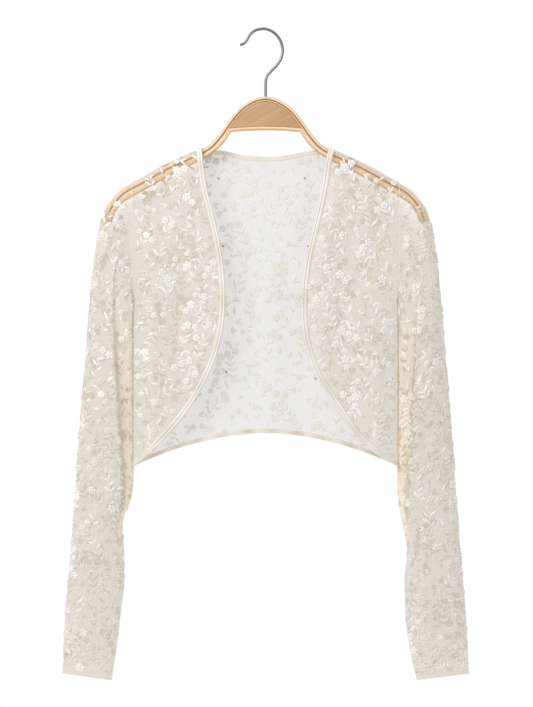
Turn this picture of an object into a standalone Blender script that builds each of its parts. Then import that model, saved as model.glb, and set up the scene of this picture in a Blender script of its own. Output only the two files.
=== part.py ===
"""A bolero jacket of embroidered net, hanging on a wooden hanger with a wire hook.

Millimetres throughout, turned into metres where a mesh is made. The front faces -Y, +X is the viewer's
right and the wearer's left, +Z is up. The origin is the underside of the hook's crown, where a rail
carries it. The cloth is a thin wall that rolls over the hanger's arms and hangs nearly flat.
"""

from collections import namedtuple

import bmesh
import bpy
import numpy as np

MM = 0.001
RIGHT, LEFT = -1, 1  # the wearer's sides, as signs of X
FRONT, BACK = -1, 1  # signs of Y

# Cloth
WALL = 1.2
SEAM_GAP = 0.3
SEAM_HALF = 0.5  # front and back each stop this far from the middle, so that their tilted edges clear
BINDING_WALL = 1.8
FRONT_BINDING = 7.5
NECK_BINDING = 6.4
HEM_BINDING = 5.7

# Body
SIDE_REACH = 178.0  # armhole seam and side seam, from the middle
UNDERARM = -361.0
CLOSING_START = 14.0  # above the underarm, where front and back start to close on each other
CLOSING_FALL = 22.0  # and the fall over which they have
ROLL_DEPTH = 14.0  # half the depth of the jacket once it has rolled over the hanger
ROLL_DROP = 78.5  # the fall over which it gets there
ROLL_POWER = 4.0  # how flat the cloth lies on the hanger before it turns down
SEAM_POWER = 3.0  # the same for the turn at the side seams
TUBE_POWER = 2.4  # and for a sleeve's section, well below the shoulder
RIDGE_LIFT = 2.0  # middle of the cloth above the wood
SIDE_ROUND = 60.0  # how far from the side seam the body turns round
HEM_MIDDLE = -540.0
HEM_CORNER_FALL = 44.6
HEM_CURVE = 1.85
NECK_REACH = 85.0
NECK_LOW_REACH = NECK_REACH + FRONT_BINDING
NECK_WIDENS = 74.0  # from here the neck binding runs down to the shoulder
CORNER_START = 385.0  # fall at which a front's binding starts to turn along the hem
CORNER_FALL = 40.0
SLOPE_FADE = 22.0  # fall over which a front's rows lose the slope of the shoulder

# Hanger
HANGER_HALF_THICK = 5.0
PANEL_HALF_THICK = 4.4
RIM_EDGE_ROUND = 1.8
RAIL_EDGE_ROUND = 0.5
GROOVE = 0.9
RIM_WIDTH_ARCH = 4.0
RIM_WIDTH_ARM = 5.2
RIM_WIDENS = 60.0  # from here, over the next stretch, the rim gains its width on the arm
RIM_WIDENING = 30.0
ARCH_LINE = 1.6  # the thin strip that frames the arch's panel
BOTTOM_RAIL = 4.0
ARCH_BOTTOM = -136.0
ARCH_BOTTOM_CROWN = 2.6  # how far the bottom rail arches up at the middle
ARCH_CORNER = 48.6
WIRE_RADIUS = 1.9
STEM_END = -108.0
BORE_DEPTH = 30.0

# Heights of the hanger's upper edge, by distance from the middle
HANGER_TOP = (
    (0.0, -89.0), (12.0, -91.2), (25.6, -98.0), (36.0, -105.8), (43.0, -113.6), (51.0, -124.0),
    (62.0, -140.0), (74.0, -153.0), (83.5, -159.0), (114.0, -172.6), (136.0, -183.0), (165.0, -199.4),
    (191.0, -213.5), (202.0, -224.0), (212.5, -239.0), (218.0, -255.0),
)
# Heights of its lower edge, outside the arch
HANGER_BOTTOM = (
    (46.5, -136.0), (52.0, -144.5), (59.0, -153.5), (70.0, -163.2), (83.0, -171.6), (120.0, -190.5),
    (165.0, -215.0), (190.0, -229.5), (199.0, -238.0), (206.5, -257.0),
)
# Centre line of the hook as (x, z), from its free tip round the crown to the stem
HOOK_LINE = (
    (-34.0, -19.6), (-29.5, -18.2), (-26.0, -14.6), (-20.5, -5.2), (-11.7, 0.6), (-2.0, 2.0), (7.2, -0.8),
    (15.6, -7.6), (21.0, -16.8), (23.0, -27.0), (20.8, -37.6), (14.9, -47.0), (6.7, -55.6), (1.4, -62.5),
    (0.0, -70.0), (0.0, -89.0), (0.0, STEM_END),
)
# Neckline of the back, by distance from the middle
NECK_TOP = ((0.0, -167.6), (22.0, -166.4), (44.0, -162.6), (59.0, -159.4), (75.0, -158.4), (85.0, -158.1))
# Front edges, as height and distance from the middle
FRONT_EDGE = {
    RIGHT: (
        (-157.0, 85.0), (-174.0, 83.5), (-209.0, 79.0), (-242.0, 70.8), (-278.0, 62.6), (-312.0, 56.8),
        (-354.0, 53.9), (-382.0, 54.8), (-412.0, 59.4), (-442.0, 67.8), (-466.0, 78.4), (-490.0, 91.0),
        (-513.0, 106.7), (-536.0, 125.5), (-557.0, 145.5), (-576.0, 166.0), (-584.6, 178.0),
    ),
    LEFT: (
        (-157.0, 85.0), (-174.0, 81.0), (-195.0, 78.0), (-230.0, 71.6), (-272.0, 61.8), (-307.0, 53.8),
        (-354.0, 48.2), (-382.0, 47.9), (-410.0, 50.8), (-436.0, 57.2), (-462.0, 67.6), (-490.0, 85.0),
        (-518.0, 103.0), (-540.0, 118.5), (-559.0, 137.0), (-575.0, 160.0), (-584.6, 178.0),
    ),
}

Fold = namedtuple("Fold", "side face reach width depth top bottom")
BODY_FOLDS = (
    Fold(RIGHT, FRONT, 150.0, 11.0, 3.2, -250.0, -560.0),
    Fold(RIGHT, FRONT, 112.0, 15.0, -2.4, -240.0, -520.0),
    Fold(LEFT, FRONT, 146.0, 12.0, 2.8, -262.0, -556.0),
    Fold(LEFT, FRONT, 104.0, 16.0, -2.6, -250.0, -500.0),
    Fold(RIGHT, BACK, 128.0, 14.0, 3.0, -230.0, -575.0),
    Fold(LEFT, BACK, 134.0, 13.0, 2.6, -246.0, -575.0),
    Fold(RIGHT, BACK, 62.0, 20.0, -2.2, -260.0, -545.0),
    Fold(LEFT, BACK, 48.0, 24.0, 2.4, -300.0, -545.0),
)

Section = namedtuple(
    "Section", "outer_reach outer_z right_inner left_inner inner_z half_depth fold_at fold_step"
)
SLEEVE = (
    Section(178.9, -204.8, 178.9, 178.9, -358.2, 14.0, 0.50, 0.00),
    Section(192.1, -212.0, 180.6, 180.6, -360.6, 14.4, 0.50, 0.00),
    Section(203.4, -222.7, 180.8, 180.8, -372.0, 15.0, 0.52, 0.05),
    Section(214.1, -238.0, 180.8, 180.8, -388.0, 16.0, 0.54, 0.18),
    Section(220.0, -254.4, 180.8, 180.8, -406.0, 17.2, 0.55, 0.32),
    Section(227.0, -290.0, 180.8, 180.8, -436.0, 19.0, 0.52, 0.46),
    Section(232.6, -335.0, 180.7, 180.7, -465.0, 20.6, 0.46, 0.55),
    Section(237.2, -385.0, 180.6, 180.6, -495.0, 21.8, 0.40, 0.60),
    Section(241.0, -437.0, 180.6, 180.6, -530.0, 22.4, 0.33, 0.62),
    Section(245.6, -490.0, 180.5, 180.5, -568.0, 22.4, 0.27, 0.60),
    Section(249.9, -545.0, 181.0, 180.4, -603.0, 21.8, 0.21, 0.52),
    Section(252.9, -592.0, 184.0, 180.6, -632.0, 20.8, 0.14, 0.34),
    Section(256.1, -636.0, 191.6, 183.4, -660.0, 19.8, 0.09, 0.14),
    Section(259.9, -684.0, 190.0, 189.6, -697.0, 18.8, 0.08, 0.00),
    Section(263.7, -730.0, 189.0, 186.0, -737.0, 17.8, 0.08, 0.00),
    Section(267.8, -775.0, 194.2, 187.2, -781.0, 16.6, 0.08, 0.00),
    Section(270.1, -818.0, 199.2, 192.4, -824.0, 15.2, 0.08, 0.00),
    Section(272.1, -861.0, 206.0, 202.2, -870.0, 13.4, 0.08, 0.00),
)
BACK_FOLD_SHARE = 0.55  # the fold behind a sleeve, beside the one in front
# A sleeve is one cut piece; its solid is in stretches of sections, so that collision follows its hollow.
# The slits between them are about 0.3 mm wide, square to the slit, so a slanted one skips more of a section.
Stretch = namedtuple("Stretch", "word first last")
SLEEVE_STRETCHES = (
    Stretch("cap", 0.0, 4.48), Stretch("upper", 4.52, 8.49), Stretch("elbow", 8.51, 12.496),
    Stretch("lower", 12.504, 17.0),
)

# Sampling of the walls
TOP_FALLS = (0.0, 0.15, 0.5, 1.4, 3.5, 9.0, 22.0)
TOP_LENGTH = 380.0
LOWER_ROWS = 11
END_SHARES = (0.94, 0.965, 0.985, 0.996, 1.0)
FRONT_COLUMNS = (0.0, 0.12, 0.27, 0.42, 0.56, 0.69, 0.80, 0.89, 0.95, 0.985, 1.0)
SIDE_COLUMNS = (1.0, 0.985, 0.95, 0.88, 0.76, 0.62, 0.42, 0.2)
NECK_COLUMNS = (92.5, 91.8, 90.0, 87.0, 81.5, 73.0, 60.0, 44.0, 22.0)
INNER_COLUMNS = (0.0, 0.02, 0.12, 0.45, 0.94)
OUTER_COLUMNS = (0.0, 0.22, 0.46, 0.68, 0.86, 0.95, 0.985, 0.997)
RINGS_PER_SECTION = 1.3
ROWS_PAST_PANEL = 2  # the last rows of a front binding, which run on alone to the side seam
PANEL_TIP_LIFT = 1.5
HEM_POINTS = 35

# Sampling of the hanger, as distances from the middle, closest where its edges turn
HANGER_REACH = np.concatenate(
    [np.arange(0.0, 84.0, 6.0), np.linspace(90.0, 186.0, 6), np.linspace(192.0, 218.0, 7)]
)
LOW_REACH = np.array(
    [0.0, 12.0, 24.0, 36.0, 46.5, 50.0, 54.0, 59.0, 65.0]
    + [74.0, 86.0, 110.0, 140.0, 170.0, 188.0, 196.0, 202.0, 206.5]
)
FLOOR_REACH = np.array([0.0, 12.0, 24.0, 36.0, ARCH_CORNER])
FLOOR_CLEAR = 1.5  # the arch's frame stops this far above its floor
WIRE_POINTS = 46
SHARP_ANGLE = 35.0


def curve_through(points):
    """A smooth function through (place, value) pairs, which bends only where they do."""
    place, value = np.array(sorted(points), float).T
    step = np.diff(place)
    slope = np.diff(value) / step
    same_way = slope[:-1] * slope[1:] > 0
    total = np.where(same_way, slope[:-1] + slope[1:], 1.0)
    tangent = np.empty(len(place))
    tangent[1:-1] = np.where(same_way, 2 * slope[:-1] * slope[1:] / total, 0.0)
    tangent[0], tangent[-1] = slope[0], slope[-1]

    def read(at):
        at = np.clip(at, place[0], place[-1])
        i = np.clip(np.searchsorted(place, at) - 1, 0, len(step) - 1)
        t = (at - place[i]) / step[i]
        from_start = (1 + 2 * t) * (1 - t) ** 2 * value[i] + t * (1 - t) ** 2 * step[i] * tangent[i]
        from_end = t * t * (3 - 2 * t) * value[i + 1] - t * t * (1 - t) * step[i] * tangent[i + 1]
        return from_start + from_end

    return read


hanger_top = curve_through(HANGER_TOP)
hanger_bottom = curve_through(HANGER_BOTTOM)
neck_top_height = curve_through(NECK_TOP)
front_edge_reach = {side: curve_through(points) for side, points in FRONT_EDGE.items()}


def smooth_step(t):
    t = np.clip(t, 0.0, 1.0)
    return t * t * (3 - 2 * t)


def round_rise(t, power):
    """Rises from 0 to 1 as a rounded shoulder does, upright at its start."""
    return (1 - (1 - np.clip(t, 0.0, 1.0)) ** power) ** (1 / power)


def ridge(x):
    """Height of the cloth where it lies over the hanger."""
    return hanger_top(np.abs(x)) + RIDGE_LIFT


def armhole_depth(x, z):
    """Half the depth of the armhole, level with a point of the body; nothing below the underarm."""
    down = (ridge(x) - z) / (ridge(x) - UNDERARM)
    return ROLL_DEPTH * round_rise(1 - np.abs(1 - 2 * down), ROLL_POWER)


def fold_height(face, x, z):
    """How far the body's largest folds stand out at a point."""
    total = 0.0
    for fold in BODY_FOLDS:
        if fold.face != face:
            continue
        across = np.exp(-(((x * fold.side - fold.reach) / fold.width) ** 2))
        span = fold.top - fold.bottom
        along = smooth_step(2.2 * (fold.top - z) / span) * smooth_step(5 * (z - fold.bottom + 40) / span)
        total = total + fold.depth * across * along
    return total


def body_y(face, x, z):
    """Y of the body's cloth at (x, z), rolled over the hanger and closed at the side seams."""
    from_side = SIDE_REACH - np.abs(x)
    interior = ROLL_DEPTH * round_rise((ridge(x) - z) / ROLL_DROP, ROLL_POWER)
    interior = interior + fold_height(face, x, z) * smooth_step(from_side / SIDE_ROUND * 2)
    edge = armhole_depth(x, z)
    below = smooth_step((UNDERARM + CLOSING_START - z) / CLOSING_FALL)
    open_rise = smooth_step(from_side / SIDE_ROUND)
    closed_rise = round_rise(from_side / SIDE_ROUND, SEAM_POWER)
    rise = open_rise * (1 - below) + closed_rise * below
    return face * np.maximum(edge + (interior - edge) * rise, SEAM_HALF)


def neck_top(x):
    """Height of the top of the neck binding."""
    return np.minimum(neck_top_height(np.abs(x)), ridge(x))


def neck_low(x):
    """Height of its lower edge, which meets the hanger's ridge at the shoulder."""
    x = np.abs(x)
    straight = neck_top(np.minimum(x, NECK_REACH)) - NECK_BINDING
    to_ridge = smooth_step((x - NECK_WIDENS) / (NECK_LOW_REACH - NECK_WIDENS))
    return np.minimum(straight * (1 - to_ridge) + ridge(NECK_LOW_REACH) * to_ridge, ridge(x))


def hem_height(x):
    return HEM_MIDDLE - HEM_CORNER_FALL * (np.abs(x) / SIDE_REACH) ** HEM_CURVE


def row_shares():
    """Where the rows of a body panel lie, from 0 at the shoulder to 1 at the hem."""
    top = np.array(TOP_FALLS) / TOP_LENGTH
    middle = np.linspace(top[-1], END_SHARES[0], LOWER_ROWS + 1)[1:-1]
    return np.concatenate([top, middle, END_SHARES])


def front_line(side, inset):
    """(x, z) of the line that lies this far inside a front edge, one point a row."""
    start = ridge(NECK_REACH)
    end = FRONT_EDGE[side][-1][0]
    z = start + (end - start) * row_shares()
    x = front_edge_reach[side](z)
    x[0] = NECK_REACH
    run = np.gradient(np.stack([x, z], 1), axis=0)
    inward = np.stack([-run[:, 1], run[:, 0]], 1) / np.linalg.norm(run, axis=1)[:, None]
    to_corner = smooth_step((start - z - CORNER_START) / CORNER_FALL)[:, None]
    inward = inward * (1 - to_corner) + np.array([0.0, 1.0]) * to_corner
    line = np.stack([x, z], 1) + inset * inward / np.linalg.norm(inward, axis=1)[:, None]
    near_ridge = np.exp(-(start - z) / SLOPE_FADE)
    level = ridge(line[:, 0]) - (start - z)
    line[:, 1] = line[:, 1] * (1 - near_ridge) + level * near_ridge
    line[:, 0] = np.minimum(line[:, 0], SIDE_REACH)
    return line * np.array([side, 1.0])


def on_body(face, line):
    """The points of the body's cloth at rows of (x, z)."""
    x, z = line[..., 0], line[..., 1]
    return np.stack([x, body_y(face, x, z), z], -1)


def between(first, second, shares):
    """Rows of (x, z) that run straight from one line to another."""
    shares = np.array(shares)[None, :, None]
    return first[:, None] * (1 - shares) + second[:, None] * shares


def front_panel(side):
    shares = row_shares()[:-ROWS_PAST_PANEL]
    inner = front_line(side, FRONT_BINDING + SEAM_GAP)[:-ROWS_PAST_PANEL]
    top = ridge(SIDE_REACH)
    bottom = hem_height(SIDE_REACH) + FRONT_BINDING + PANEL_TIP_LIFT
    z = top + (bottom - top) * shares / shares[-1]
    outer = np.stack([np.full(len(z), side * SIDE_REACH), z], 1)
    grid = between(inner, outer, FRONT_COLUMNS)
    over_chord = ridge(grid[0, :, 0]) - grid[0, :, 1]
    grid[..., 1] += over_chord * (1 - smooth_step(shares * 3))[:, None]
    return on_body(FRONT, grid)


def front_binding(side):
    return on_body(FRONT, between(front_line(side, 0.0), front_line(side, FRONT_BINDING), (0.0, 0.5, 1.0)))


def back_panel():
    neck = np.array(NECK_COLUMNS) * (NECK_LOW_REACH + SEAM_GAP) / NECK_LOW_REACH
    shoulder = neck[0] + (SIDE_REACH - neck[0]) * np.array(SIDE_COLUMNS)
    reach = np.concatenate([shoulder, neck])
    x = np.concatenate([-reach, [0.0], reach[::-1]])
    top = np.where(np.abs(x) >= neck[0], ridge(x), neck_low(x) - SEAM_GAP)
    bottom = hem_height(x) + HEM_BINDING + SEAM_GAP
    shares = row_shares()[:, None]
    z = top * (1 - shares) + bottom * shares
    return on_body(BACK, np.stack([np.broadcast_to(x, z.shape), z], -1))


def neck_binding():
    reach = np.array(NECK_COLUMNS)
    low_x = np.concatenate([-reach, [0.0], reach[::-1]])
    top_x = low_x * NECK_REACH / NECK_LOW_REACH
    low = np.stack([low_x, neck_low(low_x)], 1)
    top = np.stack([top_x, neck_top(top_x)], 1)
    return on_body(BACK, between(top, low, (0.0, 0.5, 1.0)))


def hem_binding():
    x = SIDE_REACH * np.sin(np.linspace(-np.pi / 2, np.pi / 2, HEM_POINTS))
    low = np.stack([x, hem_height(x)], 1)
    return on_body(BACK, between(low, low + np.array([0.0, HEM_BINDING]), (0.0, 0.5, 1.0)))


def sleeve_sections(side, stretch):
    """The sections of one stretch of a sleeve, read smoothly at every ring."""
    count = round((stretch.last - stretch.first) * RINGS_PER_SECTION) + 1
    at = np.linspace(stretch.first, stretch.last, count)
    read = {
        name: curve_through([(i, getattr(section, name)) for i, section in enumerate(SLEEVE)])(at)
        for name in Section._fields
    }
    read["inner_reach"] = read["right_inner"] if side == RIGHT else read["left_inner"]
    read["down"] = at / (len(SLEEVE) - 1)
    return read


def sleeve_rings(side, stretch):
    """Closed rings down a sleeve, with a long fold in front and a softer one behind."""
    s = sleeve_sections(side, stretch)
    fold_at = s["fold_at"][:, None]
    inner = np.array(INNER_COLUMNS)[None] * fold_at
    outer = fold_at + np.array(OUTER_COLUMNS)[None] * (1 - fold_at)
    share = np.concatenate([inner, outer, np.ones_like(fold_at)], 1)
    recess = np.concatenate([np.ones_like(inner), np.zeros_like(outer), np.zeros_like(fold_at)], 1)
    past_shoulder = smooth_step(s["down"] * 3)[:, None]
    power = ROLL_POWER + (TUBE_POWER - ROLL_POWER) * past_shoulder
    swell = round_rise(1 - np.abs(2 * share - 1), power)
    x = s["inner_reach"][:, None] * (1 - share) + s["outer_reach"][:, None] * share
    z = s["inner_z"][:, None] * (1 - share) + s["outer_z"][:, None] * share
    depth = s["half_depth"][:, None] * swell
    step = s["fold_step"][:, None] * recess
    front = np.stack([side * x, FRONT * depth * (1 - step), z], -1)
    back = np.stack([side * x, BACK * depth * (1 - BACK_FOLD_SHARE * step), z], -1)
    return np.concatenate([front, back[:, -2:0:-1], front[:, :1]], 1)


def material(name, colour, roughness, metallic=0.0):
    made = bpy.data.materials.new(name)
    made.use_nodes = True
    shader = made.node_tree.nodes["Principled BSDF"]
    shader.inputs["Base Color"].default_value = (*colour, 1.0)
    shader.inputs["Roughness"].default_value = roughness
    shader.inputs["Metallic"].default_value = metallic
    return made


def add_wall(name, points, thickness, finish, is_tube=False):
    """A wall of cloth through rows of points."""
    rows, columns, _ = points.shape
    bm = bmesh.new()
    bmesh.ops.create_grid(bm, x_segments=columns - 1, y_segments=rows - 1, size=1.0)
    bm.verts.ensure_lookup_table()
    for vertex, place in zip(bm.verts, points.reshape(-1, 3) * MM):
        vertex.co = place
    if is_tube:
        bmesh.ops.remove_doubles(bm, verts=bm.verts, dist=1e-6)
    mesh = bpy.data.meshes.new(name)
    bm.to_mesh(mesh)
    bm.free()
    mesh.shade_smooth()
    mesh.materials.append(finish)
    piece = bpy.data.objects.new(name, mesh)
    parts.objects.link(piece)
    wall = piece.modifiers.new("Wall", "SOLIDIFY")
    wall.thickness = thickness * MM
    wall.offset = 0.0
    wall.use_quality_normals = True
    return piece


def as_mesh(curve_object, name, finish):
    """The curve's solid as a welded mesh object, in the curve's place."""
    bpy.context.view_layer.update()
    evaluated = curve_object.evaluated_get(bpy.context.evaluated_depsgraph_get())
    mesh = bpy.data.meshes.new_from_object(evaluated)
    bm = bmesh.new()
    bm.from_mesh(mesh)
    bmesh.ops.remove_doubles(bm, verts=bm.verts, dist=1e-6)
    bmesh.ops.recalc_face_normals(bm, faces=bm.faces)
    bm.to_mesh(mesh)
    bm.free()
    mesh.materials.clear()
    mesh.materials.append(finish)
    solid = bpy.data.objects.new(name, mesh)
    solid.matrix_world = curve_object.matrix_world
    parts.objects.link(solid)
    bpy.data.objects.remove(curve_object)
    return solid


def add_plate(name, outlines, half_thick, edge_round, finish):
    """A flat piece of the hanger in the XZ plane, from closed outlines of (x, z)."""
    curve = bpy.data.curves.new(name, "CURVE")
    curve.dimensions = "2D"
    curve.fill_mode = "BOTH"
    curve.extrude = (half_thick - edge_round) * MM
    curve.bevel_depth = edge_round * MM
    curve.bevel_resolution = 1
    curve.offset = -edge_round * MM
    for outline in outlines:
        spline = curve.splines.new("POLY")
        spline.points.add(len(outline) - 1)
        for point, (x, z) in zip(spline.points, outline):
            point.co = (x * MM, z * MM, 0.0, 1.0)
        spline.use_cyclic_u = True
    flat = bpy.data.objects.new(name + "_outline", curve)
    flat.rotation_euler = (np.pi / 2, 0.0, 0.0)
    parts.objects.link(flat)
    plate = as_mesh(flat, name, finish)
    plate.data.shade_smooth()
    plate.data.set_sharp_from_angle(angle=np.radians(SHARP_ANGLE))
    return plate


def inset_from_top(reach, depth):
    """(x, z) of points a depth below the hanger's upper edge, square to it."""
    z = hanger_top(reach)
    slope = np.gradient(z, reach)
    normal = np.stack([-slope, np.ones_like(slope)], 1) / np.hypot(slope, 1.0)[:, None]
    return np.stack([reach, z], 1) - normal * np.reshape(depth, (-1, 1))


def both_sides(half):
    """A line from the right to the left, from its left half, which starts at the middle."""
    return np.concatenate([half[:0:-1] * np.array([-1.0, 1.0]), half])


def arch_crown(reach):
    return ARCH_BOTTOM_CROWN * np.clip(1 - (reach / ARCH_CORNER) ** 2, 0.0, 1.0)


def rim_width(reach):
    widened = smooth_step((reach - RIM_WIDENS) / RIM_WIDENING)
    return RIM_WIDTH_ARCH + (RIM_WIDTH_ARM - RIM_WIDTH_ARCH) * widened


def build_hanger(light_wood, tan_wood):
    reach = HANGER_REACH
    upper = both_sides(inset_from_top(reach, np.zeros(len(reach))))
    under_rim = both_sides(inset_from_top(reach, rim_width(reach)))
    outline = np.concatenate([upper, under_rim[::-1]])
    rim = add_plate("hanger_rim", [outline], HANGER_HALF_THICK, RIM_EDGE_ROUND, light_wood)

    rail_top = both_sides(inset_from_top(reach, rim_width(reach) + GROOVE))
    rail_low = both_sides(np.stack([LOW_REACH, hanger_bottom(LOW_REACH) + arch_crown(LOW_REACH)], 1))
    frame_in = inset_from_top(reach, rim_width(reach) + GROOVE + ARCH_LINE)
    floor = ARCH_BOTTOM + BOTTOM_RAIL
    frame_in = both_sides(frame_in[frame_in[:, 1] > floor + FLOOR_CLEAR])
    hole_low = both_sides(np.stack([FLOOR_REACH, floor + arch_crown(FLOOR_REACH)], 1))
    hole = np.concatenate([frame_in, hole_low[::-1]])
    outlines = [np.concatenate([rail_top, rail_low[::-1]]), hole]
    rail = add_plate("hanger_rail", outlines, HANGER_HALF_THICK, RAIL_EDGE_ROUND, light_wood)

    centre = np.array([0.0, (floor + hole[:, 1].max()) / 2])
    span = np.ptp(hole, axis=0) / 2
    inside = centre + (hole - centre) * (1 - SEAM_GAP / span)
    panel = add_plate("hanger_panel", [inside], PANEL_HALF_THICK, SEAM_GAP, tan_wood)

    bore_middle = STEM_END - SEAM_GAP + BORE_DEPTH / 2
    bpy.ops.mesh.primitive_cylinder_add(
        vertices=16,
        radius=(WIRE_RADIUS + SEAM_GAP) * MM,
        depth=BORE_DEPTH * MM,
        location=(0.0, 0.0, bore_middle * MM),
    )
    bore = bpy.context.object
    bore.name = "stem_bore"
    bore.hide_render = True
    bore.display_type = "WIRE"
    for collection in list(bore.users_collection):
        collection.objects.unlink(bore)
    cutters.objects.link(bore)
    for piece in (rim, rail, panel):
        cut = piece.modifiers.new("Stem bore", "BOOLEAN")
        cut.operation = "DIFFERENCE"
        cut.object = bore


def build_hook(steel):
    points = np.array(HOOK_LINE)
    along = np.concatenate([[0.0], np.cumsum(np.hypot(*np.diff(points, axis=0).T))])
    at = np.linspace(0.0, along[-1], WIRE_POINTS)
    x = curve_through(list(zip(along, points[:, 0])))(at)
    z = curve_through(list(zip(along, points[:, 1])))(at)
    curve = bpy.data.curves.new("hanger_hook", "CURVE")
    curve.dimensions = "3D"
    curve.bevel_depth = WIRE_RADIUS * MM
    curve.bevel_resolution = 2
    curve.use_fill_caps = True
    spline = curve.splines.new("POLY")
    spline.points.add(len(at) - 1)
    for point, px, pz in zip(spline.points, x, z):
        point.co = (px * MM, 0.0, pz * MM, 1.0)
    curve.materials.append(steel)
    hook = bpy.data.objects.new("hanger_hook", curve)
    parts.objects.link(hook)


def build_cloth(net, satin):
    add_wall("back", back_panel(), WALL, net)
    add_wall("binding_neck", neck_binding(), BINDING_WALL, satin)
    add_wall("binding_hem", hem_binding(), BINDING_WALL, satin)
    for side, name in ((RIGHT, "right"), (LEFT, "left")):
        add_wall(f"front_{name}", front_panel(side), WALL, net)
        add_wall(f"binding_front_{name}", front_binding(side), BINDING_WALL, satin)
        for stretch in SLEEVE_STRETCHES:
            add_wall(f"sleeve_{name}_{stretch.word}", sleeve_rings(side, stretch), WALL, net, is_tube=True)


for old in list(bpy.data.objects):
    bpy.data.objects.remove(old)
parts = bpy.data.collections.new("bolero_jacket_on_hanger")
cutters = bpy.data.collections.new("cutters")
for made in (parts, cutters):
    bpy.context.scene.collection.children.link(made)

build_cloth(material("ivory net", (0.86, 0.82, 0.75), 0.8), material("ivory satin", (0.88, 0.84, 0.76), 0.35))
build_hanger(material("light wood", (0.74, 0.54, 0.34), 0.5), material("tan wood", (0.60, 0.40, 0.22), 0.5))
build_hook(material("brushed steel", (0.56, 0.56, 0.56), 0.3, metallic=1.0))
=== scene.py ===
"""The looks of a bolero jacket of embroidered net on a wooden hanger.

Shapes are worked out in millimetres and turned into metres where a mesh is made. The front faces -Y, +X is
the viewer's right and the wearer's left, +Z is up, and the origin is under the crown of the hook.
"""

from collections import namedtuple

import bpy
import numpy as np
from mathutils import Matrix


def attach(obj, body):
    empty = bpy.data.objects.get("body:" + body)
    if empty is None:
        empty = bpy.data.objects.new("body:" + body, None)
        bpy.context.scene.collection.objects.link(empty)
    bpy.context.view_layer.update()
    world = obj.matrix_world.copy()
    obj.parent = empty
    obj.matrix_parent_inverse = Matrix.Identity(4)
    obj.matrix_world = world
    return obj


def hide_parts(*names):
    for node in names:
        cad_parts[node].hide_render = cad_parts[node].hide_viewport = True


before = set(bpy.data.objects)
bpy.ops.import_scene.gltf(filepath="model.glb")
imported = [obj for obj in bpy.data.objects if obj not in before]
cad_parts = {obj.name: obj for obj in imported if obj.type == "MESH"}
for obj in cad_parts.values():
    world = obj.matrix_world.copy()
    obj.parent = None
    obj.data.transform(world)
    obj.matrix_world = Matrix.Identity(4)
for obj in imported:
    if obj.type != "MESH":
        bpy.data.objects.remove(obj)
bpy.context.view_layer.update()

MM = 0.001
RIGHT, LEFT = -1, 1
SIDES = ((RIGHT, "right"), (LEFT, "left"))
FRONT, BACK = -1, 1

# Cloth and hanger, with the sizes and tables of the solids
SEAM_HALF = 0.5
FRONT_BINDING = 7.5
NECK_BINDING = 6.4
HEM_BINDING = 5.7
SIDE_REACH = 178.0
UNDERARM = -361.0
ROLL_DEPTH = 14.0
ROLL_DROP = 78.5
ROLL_POWER = 4.0
SEAM_POWER = 3.0
TUBE_POWER = 2.4
RIDGE_LIFT = 2.0
SIDE_ROUND = 60.0
SEWN_FROM, SEWN_BLEND = 14.0, 22.0  # the side seam closes below the armhole over this height
QUIET_SIDE, QUIET_TOP = 26.0, 45.0  # no creases nearer than this to the sides and the ridge
HEM_MIDDLE = -540.0
HEM_CORNER_FALL = 44.6
HEM_CURVE = 1.85
NECK_REACH = 85.0
NECK_TURN = 74.0  # from here the neck binding climbs to the ridge
NECK_LOW_REACH = NECK_REACH + FRONT_BINDING
GROOVE = 0.9
RIM_WIDTH_ARCH = 4.0
RIM_WIDTH_ARM = 5.2

HANGER_TOP = (
    (0.0, -89.0), (12.0, -91.2), (25.6, -98.0), (36.0, -105.8), (43.0, -113.6), (51.0, -124.0),
    (62.0, -140.0), (74.0, -153.0), (83.5, -159.0), (114.0, -172.6), (136.0, -183.0), (165.0, -199.4),
    (191.0, -213.5), (202.0, -224.0), (212.5, -239.0), (218.0, -255.0),
)
NECK_TOP = ((0.0, -167.6), (22.0, -166.4), (44.0, -162.6), (59.0, -159.4), (75.0, -158.4), (85.0, -158.1))
FRONT_EDGE = {
    RIGHT: (
        (-157.0, 85.0), (-174.0, 83.5), (-209.0, 79.0), (-242.0, 70.8), (-278.0, 62.6), (-312.0, 56.8),
        (-354.0, 53.9), (-382.0, 54.8), (-412.0, 59.4), (-442.0, 67.8), (-466.0, 78.4), (-490.0, 91.0),
        (-513.0, 106.7), (-536.0, 125.5), (-557.0, 145.5), (-576.0, 166.0), (-584.6, 178.0),
    ),
    LEFT: (
        (-157.0, 85.0), (-174.0, 81.0), (-195.0, 78.0), (-230.0, 71.6), (-272.0, 61.8), (-307.0, 53.8),
        (-354.0, 48.2), (-382.0, 47.9), (-410.0, 50.8), (-436.0, 57.2), (-462.0, 67.6), (-490.0, 85.0),
        (-518.0, 103.0), (-540.0, 118.5), (-559.0, 137.0), (-575.0, 160.0), (-584.6, 178.0),
    ),
}

Fold = namedtuple("Fold", "side face reach width depth top bottom")
BODY_FOLDS = (
    Fold(RIGHT, FRONT, 150.0, 11.0, 3.2, -250.0, -560.0),
    Fold(RIGHT, FRONT, 112.0, 15.0, -2.4, -240.0, -520.0),
    Fold(LEFT, FRONT, 146.0, 12.0, 2.8, -262.0, -556.0),
    Fold(LEFT, FRONT, 104.0, 16.0, -2.6, -250.0, -500.0),
    Fold(RIGHT, BACK, 128.0, 14.0, 3.0, -230.0, -575.0),
    Fold(LEFT, BACK, 134.0, 13.0, 2.6, -246.0, -575.0),
    Fold(RIGHT, BACK, 62.0, 20.0, -2.2, -260.0, -545.0),
    Fold(LEFT, BACK, 48.0, 24.0, 2.4, -300.0, -545.0),
)

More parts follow.
